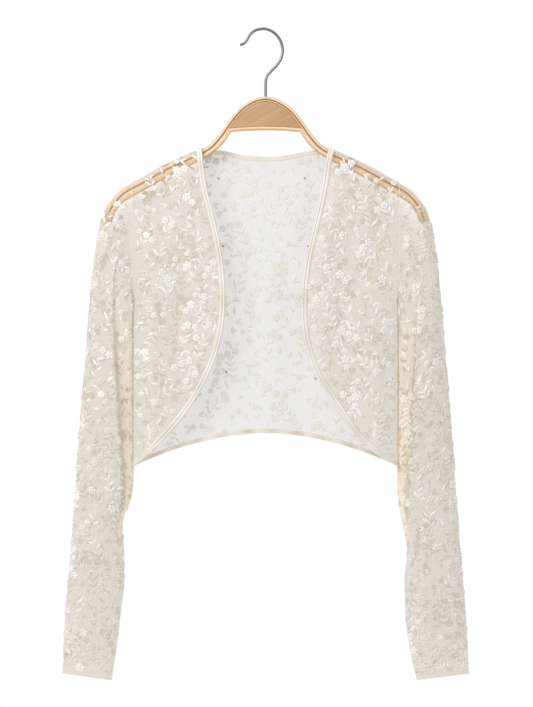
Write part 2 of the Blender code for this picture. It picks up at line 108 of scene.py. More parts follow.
# The sleeve from armhole to cuff
SLEEVE_FIELDS = (
    "outer_reach", "outer_z", "right_inner", "left_inner", "inner_z", "half_depth", "fold_at", "fold_step"
)
SLEEVE = (
    (178.9, -204.8, 178.9, 178.9, -358.2, 14.0, 0.50, 0.00),
    (192.1, -212.0, 180.6, 180.6, -360.6, 14.4, 0.50, 0.00),
    (203.4, -222.7, 180.8, 180.8, -372.0, 15.0, 0.52, 0.05),
    (214.1, -238.0, 180.8, 180.8, -388.0, 16.0, 0.54, 0.18),
    (220.0, -254.4, 180.8, 180.8, -406.0, 17.2, 0.55, 0.32),
    (227.0, -290.0, 180.8, 180.8, -436.0, 19.0, 0.52, 0.46),
    (232.6, -335.0, 180.7, 180.7, -465.0, 20.6, 0.46, 0.55),
    (237.2, -385.0, 180.6, 180.6, -495.0, 21.8, 0.40, 0.60),
    (241.0, -437.0, 180.6, 180.6, -530.0, 22.4, 0.33, 0.62),
    (245.6, -490.0, 180.5, 180.5, -568.0, 22.4, 0.27, 0.60),
    (249.9, -545.0, 181.0, 180.4, -603.0, 21.8, 0.21, 0.52),
    (252.9, -592.0, 184.0, 180.6, -632.0, 20.8, 0.14, 0.34),
    (256.1, -636.0, 191.6, 183.4, -660.0, 19.8, 0.09, 0.14),
    (259.9, -684.0, 190.0, 189.6, -697.0, 18.8, 0.08, 0.00),
    (263.7, -730.0, 189.0, 186.0, -737.0, 17.8, 0.08, 0.00),
    (267.8, -775.0, 194.2, 187.2, -781.0, 16.6, 0.08, 0.00),
    (270.1, -818.0, 199.2, 192.4, -824.0, 15.2, 0.08, 0.00),
    (272.1, -861.0, 206.0, 202.2, -870.0, 13.4, 0.08, 0.00),
)
BACK_FOLD_SHARE = 0.55
SLEEVE_NEAR = 4.2  # the net hangs this much closer to the body than the rigid sleeve can
SOFT_FOLD = 0.45  # share of a sleeve's fold that is there above the elbow, where it only starts
CUFF_SLANT = 0.19  # the cuff's front hangs this much higher than its back, for each millimetre between them

# Creases, each a soft ridge with a trough beside it: (x, z) of one end, (x, z) of the other, width, height
BODY_CREASES = {
    FRONT: (
        (-170, -236, -134, -330, 5.5, 1.5), (-166, -262, -118, -392, 7.0, 1.3),
        (-171, -372, -128, -352, 5.0, 1.2), (-172, -400, -112, -438, 6.5, 1.2),
        (-96, -196, -74, -330, 8.0, 0.9), (-168, -470, -120, -500, 6.0, 0.9),
        (-120, -205, -128, -300, 6.5, 0.9), (172, -240, 138, -322, 5.5, 1.4),
        (166, -280, 112, -410, 7.5, 1.3), (171, -366, 124, -378, 5.0, 1.1),
        (170, -420, 108, -452, 6.5, 1.2), (98, -200, 72, -318, 8.0, 1.0),
        (168, -492, 122, -512, 5.5, 0.9), (126, -212, 132, -312, 7.0, 0.8),
    ),
    BACK: (
        (-168, -240, -120, -350, 6.5, 1.5), (-172, -376, -96, -410, 6.5, 1.3),
        (-150, -300, -90, -470, 9.0, 1.1), (-60, -190, -40, -380, 11.0, 1.0),
        (-20, -260, -8, -500, 12.0, 0.8), (-168, -500, -70, -520, 7.5, 1.0),
        (166, -236, 118, -360, 6.0, 1.4), (172, -370, 100, -400, 6.0, 1.2),
        (154, -330, 104, -480, 9.0, 1.1), (64, -188, 42, -350, 10.0, 1.0),
        (26, -280, 34, -510, 12.0, 0.8), (168, -480, 84, -512, 7.0, 1.0),
    ),
}
SLEEVE_CREASES = {
    FRONT: (
        (-186, -226, -226, -330, 6.0, 1.6), (-184, -250, -206, -372, 6.5, 1.5),
        (-228, -400, -206, -520, 6.0, 1.4), (-244, -520, -214, -598, 6.0, 1.5),
        (-196, -622, -246, -662, 5.0, 1.5), (-200, -672, -252, -700, 5.5, 1.3),
        (-250, -690, -204, -742, 5.5, 1.2), (-198, -764, -240, -800, 5.0, 1.1),
        (-262, -770, -226, -842, 5.5, 1.0), (186, -228, 224, -318, 6.0, 1.6),
        (184, -256, 204, -364, 6.5, 1.4), (230, -380, 208, -506, 6.5, 1.3),
        (246, -508, 210, -580, 6.0, 1.5), (192, -612, 244, -648, 5.0, 1.5),
        (198, -690, 254, -668, 5.5, 1.2), (252, -708, 200, -752, 5.5, 1.3),
        (196, -786, 244, -812, 5.0, 1.1), (264, -780, 222, -850, 5.5, 0.9),
    ),
    BACK: (
        (-188, -230, -224, -340, 6.5, 1.5), (-234, -420, -204, -540, 6.5, 1.4),
        (-198, -630, -248, -668, 5.5, 1.4), (-254, -702, -206, -758, 5.5, 1.2),
        (-204, -800, -252, -836, 5.5, 1.0), (188, -236, 226, -336, 6.5, 1.5),
        (236, -410, 206, -520, 6.5, 1.4), (194, -618, 248, -650, 5.5, 1.4),
        (256, -690, 202, -742, 5.5, 1.2), (200, -792, 250, -826, 5.5, 1.0),
    ),
}
TROUGH_SHARE = 0.5
TROUGH_AT, TROUGH_WIDTH = 1.9, 1.3  # in widths of the crease
CREASE_FADE = 0.35  # share of a crease's length over which each end fades

# Painted warm shade in soft patches where a layer of net lies close behind another: (x, z, width, height,
# strength)
PAINTED_WARM_SHADE_PATCHES = {
    FRONT: (
        (-142, -486, 20, 34, 0.40), (-120, -540, 18, 14, 0.50),
        (-96, -420, 18, 26, 0.22), (-158, -300, 16, 40, 0.18),
        (104, -452, 18, 34, 0.36), (140, -500, 22, 26, 0.34),
        (150, -330, 18, 46, 0.24),
    ),
    BACK: (
        (-48, -360, 10, 60, 0.30), (50, -400, 10, 50, 0.25),
        (-104, -530, 30, 16, 0.35), (96, -524, 26, 16, 0.30),
    ),
}

# Painted shade on patches of a satin binding that lie turned from the light: (where along it, half its
# length, strength)
HEM_PAINTED_SHADE = (
    (-150, 12, 0.9), (-118, 10, 0.5), (-92, 9, 0.8), (-60, 11, 0.5), (-24, 9, 0.95), (8, 12, 0.6),
    (42, 10, 1.0), (74, 12, 0.6), (112, 11, 0.8), (146, 12, 0.9),
)
NECK_PAINTED_SHADE = ((-78, 9, 0.6), (-46, 8, 0.3), (-10, 12, 0.35), (34, 10, 0.5), (76, 10, 0.6))
FRONT_PAINTED_SHADE = (
    (-182, 12, 0.7), (-236, 18, 0.25), (-300, 22, 0.5), (-362, 16, 0.7), (-420, 18, 0.45), (-478, 16, 0.6),
    (-540, 16, 0.75), (-574, 9, 0.4),
)


def curve_through(points):
    """A smooth function through (place, value) pairs, which bends only where they do."""
    place, value = np.array(sorted(points), float).T
    step = np.diff(place)
    slope = np.diff(value) / step
    same_way = slope[:-1] * slope[1:] > 0
    total = np.where(same_way, slope[:-1] + slope[1:], 1.0)
    tangent = np.empty(len(place))
    tangent[1:-1] = np.where(same_way, 2 * slope[:-1] * slope[1:] / total, 0.0)
    tangent[0], tangent[-1] = slope[0], slope[-1]

    def read(at):
        at = np.clip(at, place[0], place[-1])
        i = np.clip(np.searchsorted(place, at) - 1, 0, len(step) - 1)
        t = (at - place[i]) / step[i]
        from_start = (1 + 2 * t) * (1 - t) ** 2 * value[i] + t * (1 - t) ** 2 * step[i] * tangent[i]
        from_end = t * t * (3 - 2 * t) * value[i + 1] - t * t * (1 - t) * step[i] * tangent[i + 1]
        return from_start + from_end

    return read


hanger_top = curve_through(HANGER_TOP)
neck_top_height = curve_through(NECK_TOP)
front_edge_reach = {side: curve_through(points) for side, points in FRONT_EDGE.items()}


def smooth_step(t):
    t = np.clip(t, 0.0, 1.0)
    return t * t * (3 - 2 * t)


def round_rise(t, power):
    """Rises from 0 to 1 as a rounded shoulder does, upright at its start."""
    return (1 - (1 - np.clip(t, 0.0, 1.0)) ** power) ** (1 / power)


def unit(vectors):
    """Vectors along the last axis, each brought to length 1."""
    return vectors / np.maximum(np.linalg.norm(vectors, axis=-1), 1e-9)[..., None]


def arc_lengths(grid, axis):
    """Distance along each line of a grid of points, from its start."""
    return np.insert(np.cumsum(np.linalg.norm(np.diff(grid, axis=axis), axis=2), axis), 0, 0.0, axis=axis)


def read_along(at, place, values):
    """Rows of values kept at places along a line, read at other places."""
    return np.stack([np.interp(at, place, column) for column in values.T], 1)


def spread(reach, count):
    """Places from -reach to reach, closer together at the ends."""
    return reach * np.sin(np.linspace(-np.pi / 2, np.pi / 2, count))


def ridge(x):
    """Height of the cloth where it lies over the hanger."""
    return hanger_top(np.abs(x)) + RIDGE_LIFT


def armhole_depth(x, z):
    """Half the depth of the armhole, level with a point of the body; nothing below the underarm."""
    down = (ridge(x) - z) / (ridge(x) - UNDERARM)
    return ROLL_DEPTH * round_rise(1 - np.abs(1 - 2 * down), ROLL_POWER)


def fold_height(face, x, z):
    """How far the body's largest folds stand out at a point."""
    total = 0.0
    for fold in BODY_FOLDS:
        if fold.face == face:
            across = np.exp(-(((x * fold.side - fold.reach) / fold.width) ** 2))
            span = fold.top - fold.bottom
            along = smooth_step(2.2 * (fold.top - z) / span) * smooth_step(5 * (z - fold.bottom + 40) / span)
            total = total + fold.depth * across * along
    return total


def crease_height(creases, face, x, z):
    """How far the small creases stand out at a point, each with a trough beside it."""
    total = 0.0
    for x0, z0, x1, z1, width, height in creases[face]:
        run = np.array([x1 - x0, z1 - z0], float)
        length = np.hypot(*run)
        dx, dz = x - x0, z - z0
        along = (dx * run[0] + dz * run[1]) / length**2
        off = (dx * run[1] - dz * run[0]) / length / width
        fade = smooth_step(along / CREASE_FADE + 0.1) * smooth_step((1 - along) / CREASE_FADE + 0.1)
        ridge_part = np.exp(-(off**2))
        trough_part = np.exp(-(((off - TROUGH_AT) / TROUGH_WIDTH) ** 2))
        total = total + height * fade * (ridge_part - TROUGH_SHARE * trough_part)
    return total


def body_y(face, x, z):
    """Y of the body's cloth at (x, z), rolled over the hanger and closed at the side seams."""
    from_side = SIDE_REACH - np.abs(x)
    interior = ROLL_DEPTH * round_rise((ridge(x) - z) / ROLL_DROP, ROLL_POWER)
    interior = interior + fold_height(face, x, z) * smooth_step(from_side / SIDE_ROUND * 2)
    edge = armhole_depth(x, z)
    below = smooth_step((UNDERARM + SEWN_FROM - z) / SEWN_BLEND)
    open_rise = smooth_step(from_side / SIDE_ROUND)
    closed_rise = round_rise(from_side / SIDE_ROUND, SEAM_POWER)
    rise = open_rise * (1 - below) + closed_rise * below
    quiet = smooth_step(from_side / QUIET_SIDE) * smooth_step((ridge(x) - z) / QUIET_TOP)
    creased = crease_height(BODY_CREASES, face, x, z) * quiet
    return face * (np.maximum(edge + (interior - edge) * rise, SEAM_HALF) + creased)


def neck_top(x):
    """Height of the top of the neck binding."""
    return np.minimum(neck_top_height(np.abs(x)), ridge(x))


def neck_low(x):
    """Height of its lower edge, which meets the hanger's ridge at the shoulder."""
    x = np.abs(x)
    straight = neck_top(np.minimum(x, NECK_REACH)) - NECK_BINDING
    to_ridge = smooth_step((x - NECK_TURN) / (NECK_LOW_REACH - NECK_TURN))
    return np.minimum(straight * (1 - to_ridge) + ridge(NECK_LOW_REACH) * to_ridge, ridge(x))


def hem_height(x):
    return HEM_MIDDLE - HEM_CORNER_FALL * (np.abs(x) / SIDE_REACH) ** HEM_CURVE


# Rows of the body's cloth, as shares of the fall from shoulder to hem: close together over the hanger
BODY_FALL = 380.0
TOP_FALLS = (0.0, 0.04, 0.15, 0.32, 0.6, 1.0, 1.6, 2.5, 4.0, 6.0, 9.0, 12.5)
ROW_SHARES = np.concatenate(
    [np.array(TOP_FALLS) / BODY_FALL, np.linspace(0.042, 0.985, 118), (0.99, 0.996, 1.0)]
)
PANEL_ROWS = len(ROW_SHARES) - 3
UNDER_BINDING = 2.6  # how far the net runs on below a binding
CORNER_FALL, CORNER_BLEND = 385.0, 40.0  # where a front edge has turned into the hem
RIDGE_BLEND = 22.0


def front_line(side, inset):
    """(x, z) of the line that lies this far inside a front edge, one point a row."""
    start = ridge(NECK_REACH)
    end = FRONT_EDGE[side][-1][0]
    z = start + (end - start) * ROW_SHARES
    x = front_edge_reach[side](z)
    x[0] = NECK_REACH
    run = np.gradient(np.stack([x, z], 1), axis=0)
    run[1:-1] = (run[:-2] + run[1:-1] + run[2:]) / 3
    inward = unit(np.stack([-run[:, 1], run[:, 0]], 1))
    to_corner = smooth_step((start - z - CORNER_FALL) / CORNER_BLEND)[:, None]
    inward = inward * (1 - to_corner) + np.array([0.0, 1.0]) * to_corner
    line = np.stack([x, z], 1) + inset * unit(inward)
    near_ridge = np.exp(-(start - z) / RIDGE_BLEND)
    level = ridge(line[:, 0]) - (start - z)
    line[:, 1] = line[:, 1] * (1 - near_ridge) + level * near_ridge
    line[:, 0] = np.minimum(line[:, 0], SIDE_REACH)
    return line * np.array([side, 1.0])


def on_body(face, line):
    """The points of the body's cloth at rows of (x, z)."""
    x, z = line[..., 0], line[..., 1]
    return np.stack([x, body_y(face, x, z), z], -1)


def front_panel(side):
    """Rows of (x, z) from the front edge to the side seam and armhole."""
    shares = ROW_SHARES[:PANEL_ROWS]
    inner = front_line(side, FRONT_BINDING - UNDER_BINDING)[:PANEL_ROWS]
    top = ridge(SIDE_REACH)
    bottom = hem_height(SIDE_REACH) + FRONT_BINDING - UNDER_BINDING
    z = top + (bottom - top) * shares / shares[-1]
    outer = np.stack([np.full(len(z), side * SIDE_REACH), z], 1)
    across = np.sin(np.linspace(0.0, np.pi / 2, 56))[None, :, None]
    grid = inner[:, None] * (1 - across) + outer[:, None] * across
    over_chord = ridge(grid[0, :, 0]) - grid[0, :, 1]
    grid[..., 1] += over_chord * (1 - smooth_step(shares * 3))[:, None]
    return grid


def back_panel():
    """Rows of (x, z) from the neck and shoulders down to the hem."""
    x = spread(SIDE_REACH, 150)
    under_neck = np.minimum(neck_low(x) + UNDER_BINDING, ridge(x))
    top = np.where(np.abs(x) >= NECK_LOW_REACH, ridge(x), under_neck)
    bottom = hem_height(x) + HEM_BINDING - UNDER_BINDING
    shares = ROW_SHARES[:, None]
    z = top * (1 - shares) + bottom * shares
    return np.stack([np.broadcast_to(x, z.shape), z], -1)


def sleeve_rings(side, rings=170, inner_columns=16, turn_columns=7, outer_columns=44):
    """Rings from armhole to cuff, each closed, with a long fold that laps over in front and behind."""
    at = np.linspace(0, len(SLEEVE) - 1, rings)
    s = {
        name: curve_through(list(enumerate(values)))(at)[:, None]
        for name, values in zip(SLEEVE_FIELDS, zip(*SLEEVE))
    }
    inner_reach = s["right_inner"] if side == RIGHT else s["left_inner"]
    beside_body = smooth_step(at)[:, None] * (1 - smooth_step((at - 10.0) / 2.5))[:, None]
    inner_reach = inner_reach - SLEEVE_NEAR * beside_body
    width = np.hypot(s["outer_reach"] - inner_reach, s["outer_z"] - s["inner_z"])
    late = smooth_step((at - 4.5) / 3.5)[:, None]
    strength = smooth_step(s["fold_step"] / 0.4) * late
    lap = strength * 3.2 / width - (1 - strength) * 0.006
    to_turn = np.linspace(0.0, 1.0, inner_columns)[None, :-1] * (s["fold_at"] + lap)
    turn = np.linspace(0.0, 1.0, turn_columns)[None]
    turning = s["fold_at"] + lap * np.cos(np.pi * turn)
    past_turn = np.sin(np.linspace(0.0, np.pi / 2, outer_columns))[None, 1:]
    outer = (s["fold_at"] - lap) + (1 - s["fold_at"] + lap) * past_turn
    share = np.concatenate([to_turn, turning, outer], 1)
    recess = np.concatenate(
        [np.ones_like(to_turn), np.repeat(1 - smooth_step(turn), rings, 0), np.zeros_like(outer)], 1
    )
    share = np.clip(share, 0.0, 1.0)
    past_shoulder = smooth_step(np.linspace(0.0, 1.0, rings) * 3)[:, None]
    power = ROLL_POWER + (TUBE_POWER - ROLL_POWER) * past_shoulder
    swell = round_rise(1 - np.abs(2 * share - 1), power)
    x = inner_reach * (1 - share) + s["outer_reach"] * share
    z = s["inner_z"] * (1 - share) + s["outer_z"] * share
    depth = s["half_depth"] * swell
    step = s["fold_step"] * recess * (SOFT_FOLD + (1 - SOFT_FOLD) * late)
    quiet = smooth_step(4.5 * swell - 2.2) * (smooth_step(at / 1.2) * smooth_step((17 - at) / 0.8))[:, None]
    level_cuff = CUFF_SLANT * smooth_step((at - 13.0) / 4.0)[:, None]

    def half_sleeve(face, fold_share):
        creased = quiet * crease_height(SLEEVE_CREASES, face, side * x, z)
        y = face * (depth * (1 - fold_share * step) + creased)
        return np.stack([side * x, y, z - level_cuff * y], -1)

    front, back = half_sleeve(FRONT, 1.0), half_sleeve(BACK, BACK_FOLD_SHARE)
    # Painted warm shade in the recess of the fold, fading out towards the cuff and weaker behind
    along = 0.55 * smooth_step((at - 3.0) / 2.0) + 0.45 * smooth_step((at - 5.5) / 3.0)
    along = along * (1 - smooth_step((at - 11.8) / 1.5)) * (0.84 + 0.16 * np.sin(2.3 * at + side))
    painted_warm_shade = recess * (1 - 0.5 * smooth_step(share / (s["fold_at"] + lap) * 2 - 1)) * along[:, None]
    sheer = smooth_step((share - 0.65) / 0.25) * (1 - smooth_step((at - 2.2) / 1.4))[:, None]

    def ringed(front, back):
        return np.concatenate([front, back[:, -2:0:-1], front[:, :1]], 1)

    return ringed(front, back), ringed(painted_warm_shade, 0.6 * painted_warm_shade), ringed(sheer, sheer)


# Flat coordinates of the cloth, in which the pattern is laid out
ROLL_FALLS = np.concatenate([[0.0], np.geomspace(0.002, 80.0, 220)])
ROLL_OUT = ROLL_DEPTH * round_rise(ROLL_FALLS / ROLL_DROP, ROLL_POWER)
ROLL_ARC = np.concatenate([[0.0], np.cumsum(np.hypot(np.diff(ROLL_FALLS), np.diff(ROLL_OUT)))])
ROLL_EXTRA = ROLL_ARC[-1] - ROLL_FALLS[-1]


class BodyCloth:
    """Places pattern points (x, height) and a rise off the cloth in space, on one face of the body."""

    def __init__(self, face):
        self.face = face

    def at(self, s, t):
        arc = np.maximum(ridge(s) + ROLL_EXTRA - t, 0.0)
        fall = np.where(arc > ROLL_ARC[-1], arc - ROLL_EXTRA, np.interp(arc, ROLL_ARC, ROLL_FALLS))
        z = ridge(s) - fall
        return np.stack([s, body_y(self.face, s, z), z], -1)

    def place(self, s, t, rise):
        step = 0.6
        along_s = self.at(s + step, t) - self.at(s - step, t)
        along_t = self.at(s, t + step) - self.at(s, t - step)
        normal = unit(np.cross(along_s, along_t) * -self.face)
        return self.at(s, t) + normal * rise[:, None]


class SleeveCloth:
    """The same for a sleeve: (around from the top edge, height above the cuff)."""

    ROW = 3.0
    COLUMNS = 260
    REACH = 150

    def __init__(self, rings, painted_warm_shade):
        share = np.linspace(0.0, 1.0, self.COLUMNS)
        known = np.concatenate([rings, painted_warm_shade[..., None]], 2)
        rows = zip(known, arc_lengths(rings, 1))
        up = np.stack([read_along(share * length[-1], length, ring) for ring, length in rows])[::-1]
        height = arc_lengths(up[..., :3], 0)
        self.top = height[-1]
        self.rows = int(self.top.max() / self.ROW) + 2
        level = np.arange(self.rows) * self.ROW
        grid = np.stack([read_along(level, height[:, k], up[:, k]) for k in range(self.COLUMNS)], 1)
        self.grid, self.painted_warm_shade = grid[..., :3], grid[..., 3:]
        arc = arc_lengths(self.grid, 1)
        arc -= arc[:, self.COLUMNS // 2, None]
        self.girth = arc[:, -1] - arc[:, 0]
        reach = np.arange(-self.REACH, self.REACH + 1)
        self.shares = np.stack([np.interp(reach, row, share) for row in arc])[..., None]
        across = np.gradient(self.grid, axis=1)
        across[:, 0] = across[:, -1] = (across[:, 0] + across[:, -1]) / 2
        normal = unit(np.cross(across, np.gradient(self.grid, axis=0)))
        centre = self.grid.mean(1, keepdims=True)
        self.normal = normal * np.sign((normal * (self.grid - centre)).sum((0, 1, 2)))

    def read(self, table, row, column):
        r = np.clip(row.astype(int), 0, self.rows - 2)
        c = np.clip(column.astype(int), 0, table.shape[1] - 2)
        fr = np.clip(row - r, 0.0, 1.0)[:, None]
        fc = np.clip(column - c, 0.0, 1.0)[:, None]
        low = table[r, c] * (1 - fc) + table[r, c + 1] * fc
        high = table[r + 1, c] * (1 - fc) + table[r + 1, c + 1] * fc
        return low * (1 - fr) + high * fr

    def share(self, s, t):
        return self.read(self.shares, t / self.ROW, s + self.REACH)[:, 0]

    def painted_warm_shade_at(self, s, t):
        return self.read(self.painted_warm_shade, t / self.ROW, self.share(s, t) * (self.COLUMNS - 1))[:, 0]

    def place(self, s, t, rise):
        row = t / self.ROW
        column = self.share(s, t) * (self.COLUMNS - 1)
        return self.read(self.grid, row, column) + self.read(self.normal, row, column) * rise[:, None]


# Embroidery, laid out flat: blossoms in small clusters, sprays of leaves on fine stems
Blossom = namedtuple("Blossom", "s t turn size")
Leaf = namedtuple("Leaf", "s t turn length width")
FIELD_WIDTH, FIELD_HEIGHT = 400, 720
SPRAY_STEP, SPRAY_ROW = 40.0, 45.0
FAN_TRIES = 4200
CLEAR = 5  # bare net round the root of a fan


def heading(turn):
    return np.array([np.cos(turn), np.sin(turn)])


class Pattern:
    """Grows the flat pattern, keeping count of the square millimetres that are taken."""

    def __init__(self, seed):
        self.random = np.random.RandomState(seed)
        self.taken = np.zeros((FIELD_WIDTH, FIELD_HEIGHT), bool)
        self.blossoms, self.leaves, self.stems = [], [], []
        self.grow()

    def cells(self, s, t):
        i = np.clip(np.round(s).astype(int), 0, FIELD_WIDTH - 1)
        j = np.clip(np.round(t).astype(int), 0, FIELD_HEIGHT - 1)
        return i, j

    def try_place(self, s, t, allowed):
        i, j = self.cells(np.asarray(s), np.asarray(t))
        if self.taken[i, j].mean() > allowed:
            return False
        self.taken[i, j] = True
        return True

    def blossom(self, s, t, size, allowed=0.12):
        angle = np.linspace(0, 2 * np.pi, 14, endpoint=False)
        reach = np.array([[0.35], [0.7], [1.0]]) * size
        if self.try_place((s + reach * np.cos(angle)).ravel(), (t + reach * np.sin(angle)).ravel(), allowed):
            self.blossoms.append(Blossom(s, t, self.random.uniform(0, 2 * np.pi), size))
            return True
        return False

    def leaf(self, s, t, turn, length, allowed=0.3):
        along = np.linspace(0.12, 1.0, 9)[:, None] * length
        off = np.array([[-1.3, 0.0, 1.3]])
        ls = s + along * np.cos(turn) - off * np.sin(turn)
        lt = t + along * np.sin(turn) + off * np.cos(turn)
        if self.try_place(ls.ravel(), lt.ravel(), allowed):
            width = length * self.random.uniform(0.29, 0.36)
            self.leaves.append(Leaf(s, t, turn, length, width))
            return True
        return False

    def stem(self, s, t, turn, length, bend, step=2.6):
        count = max(int(length / step), 2)
        turns = turn + bend * np.linspace(0.0, 1.0, count)
        line = np.array([s, t]) + np.insert(np.cumsum(heading(turns).T * step, 0), 0, 0.0, axis=0)
        return line, np.append(turns, turns[-1])

    def spray(self, s, t):
        pick = self.random.uniform
        turn = np.pi / 2 + pick(-0.75, 0.75)
        if pick(0, 1) < 0.3:
            turn += np.pi
        line, turns = self.stem(s, t, turn, pick(38, 56), pick(-1.2, 1.2))
        side = 1 if pick(0, 1) < 0.5 else -1
        grown = 0
        for i in range(2, len(line) - 2, 3):
            length = pick(10.0, 14.5) * (1.0 - 0.2 * i / len(line))
            lean = pick(0.62, 0.95)
            if pick(0, 1) < 0.86 and self.leaf(*line[i], turns[i] + side * lean, length):
                grown += 1
            if pick(0, 1) < 0.45 and self.leaf(*line[i], turns[i] - side * lean, length * 0.85):
                grown += 1
            side = -side
        tip, tip_turn = line[-1], turns[-1]
        flowered = self.blossom(*(tip + 4.2 * heading(tip_turn)), pick(5.0, 6.4))
        for lean in (1.25, -1.25):
            if pick(0, 1) < 0.6:
                away = tip + 11.4 * heading(tip_turn + lean)
                if self.blossom(*away, pick(4.3, 5.6)):
                    self.stems.append(np.linspace(line[-3], away, 4))
        if pick(0, 1) < 0.25:
            self.blossom(*(line[0] - 4.4 * heading(turn)), pick(4.0, 5.0))
        if grown or flowered:
            self.stems.append(line)
            i, j = self.cells(line[:, 0], line[:, 1])
            self.taken[i, j] = True

    def fan(self, s, t):
        pick = self.random.uniform
        turn = pick(0, 2 * np.pi)
        root = np.array([s, t])
        if pick(0, 1) < 0.2:
            self.blossom(s, t, pick(3.6, 4.6), 0.05)
            root = root + 4.0 * heading(turn)
        count = self.random.randint(2, 4)
        for k in range(count):
            self.leaf(*root, turn + (k - (count - 1) / 2) * pick(0.6, 0.85), pick(7.4, 10.8), 0.18)

    def grow(self):
        pick = self.random.uniform
        for row, t in enumerate(np.arange(-20, FIELD_HEIGHT + 10, SPRAY_ROW)):
            for s in np.arange(-16 + (row % 2) * 20, FIELD_WIDTH + 16, SPRAY_STEP):
                self.spray(s + pick(-6, 6), t + pick(-8, 8))
        for _ in range(FAN_TRIES):
            s, t = pick(0, FIELD_WIDTH), pick(0, FIELD_HEIGHT)
            i, j = int(s), int(t)
            around = self.taken[max(i - CLEAR, 0) : i + CLEAR + 1, max(j - CLEAR, 0) : j + CLEAR + 1]
            if not around.any():
                self.fan(s, t)


# Shapes of the stitched motifs: (across, along, rise) and their faces
PETALS = 5
BLOSSOM_SEGMENTS = 20
BLOSSOM_RINGS = ((0.17, 0.92), (0.35, 0.05), (0.62, 1.0), (0.86, 0.82), (1.0, 0.02))


def halves(a, b, c, d):
    """The two triangles of a four-sided face."""
    return [(a, b, c), (a, c, d)]


def blossom_shape():
    angle = np.linspace(0.0, 2 * np.pi, BLOSSOM_SEGMENTS, endpoint=False)
    petal = np.abs(np.cos(angle * PETALS / 2))
    lobe = 0.78 + 0.22 * petal**0.6
    points = [np.array([[0.0, 0.0, 0.86]])]
    for reach, rise in BLOSSOM_RINGS:
        here = reach * (1 + (lobe - 1) * min(reach * 1.3, 1.0))
        notch = rise * (1 - 0.85 * (reach > 0.5) * (1 - petal**0.5))
        points.append(np.stack([here * np.cos(angle), here * np.sin(angle), notch], 1))
    faces = []
    n = BLOSSOM_SEGMENTS
    for i in range(n):
        j = (i + 1) % n
        faces.append((0, 1 + i, 1 + j))
        for ring in range(len(BLOSSOM_RINGS) - 1):
            a, b = 1 + ring * n, 1 + (ring + 1) * n
            faces += halves(a + i, b + i, b + j, a + j)
    return np.concatenate(points), np.array(faces)


LEAF_STATIONS = ((0.18, 0.62), (0.42, 1.0), (0.68, 0.86), (0.87, 0.44))


def leaf_shape():
    points = [(0.0, 0.0, 0.12)]
    for along, wide in LEAF_STATIONS:
        for across, rise in ((-1.0, 0.05), (-0.5, 0.95), (0.0, 0.55), (0.5, 0.95), (1.0, 0.05)):
            points.append((along, across * wide / 2, rise * (0.4 + 0.6 * wide)))
    points.append((1.0, 0.0, 0.1))
    last = len(points) - 1
    faces = []
    for k in range(4):
        faces.append((0, 1 + k, 2 + k))
        faces.append((last, last - 4 + k, last - 5 + k))
        for station in range(len(LEAF_STATIONS) - 1):
            a = 1 + station * 5 + k
            faces += halves(a, a + 5, a + 6, a + 1)
    return np.array(points), np.array(faces)


BLOSSOM_SHAPE = blossom_shape()
LEAF_SHAPE = leaf_shape()
BLOSSOM_RISE = 1.5
LEAF_RISE = 1.0
STEM_RISE = 0.45
STEM_HALF = 0.42
LIFT = 0.12  # stitches start just clear of the net


def many(shape, s, t, turn, long, wide, rise):
    """The vertices (s, t, rise) and triangles of many copies of a flat shape."""
    points, faces = shape
    a = points[None, :, 0] * long[:, None]
    b = points[None, :, 1] * wide[:, None]
    cos, sin = np.cos(turn)[:, None], np.sin(turn)[:, None]
    rises = np.broadcast_to(points[:, 2] * rise, a.shape)
    made = np.stack([s[:, None] + a * cos - b * sin, t[:, None] + a * sin + b * cos, rises], -1)
    shift = np.arange(len(s))[:, None, None] * len(points)
    return made.reshape(-1, 3), (faces[None] + shift).reshape(-1, 3)


def stem_ribbon(line):
    """The vertices and triangles of a low ridge of thread along a flat line."""
    run = unit(np.gradient(line, axis=0))
    off = np.stack([-run[:, 1], run[:, 0]], 1) * STEM_HALF
    edges = ((line + off, 0.0), (line, STEM_RISE), (line - off, 0.0))
    points = np.stack([np.insert(edge, 2, rise, axis=1) for edge, rise in edges], 1).reshape(-1, 3)
    faces = []
    for row in range(0, 3 * (len(line) - 1), 3):
        for a in (row, row + 1):
            faces += halves(a, a + 3, a + 4, a + 1)
    return points, np.array(faces)


PAINTED_WARM_SHADE_FROM = 0.3  # painted warm shade from which a motif takes the thread with painted fold shade
THREAD_PATCH = 17.0  # size of the patches that share one thread


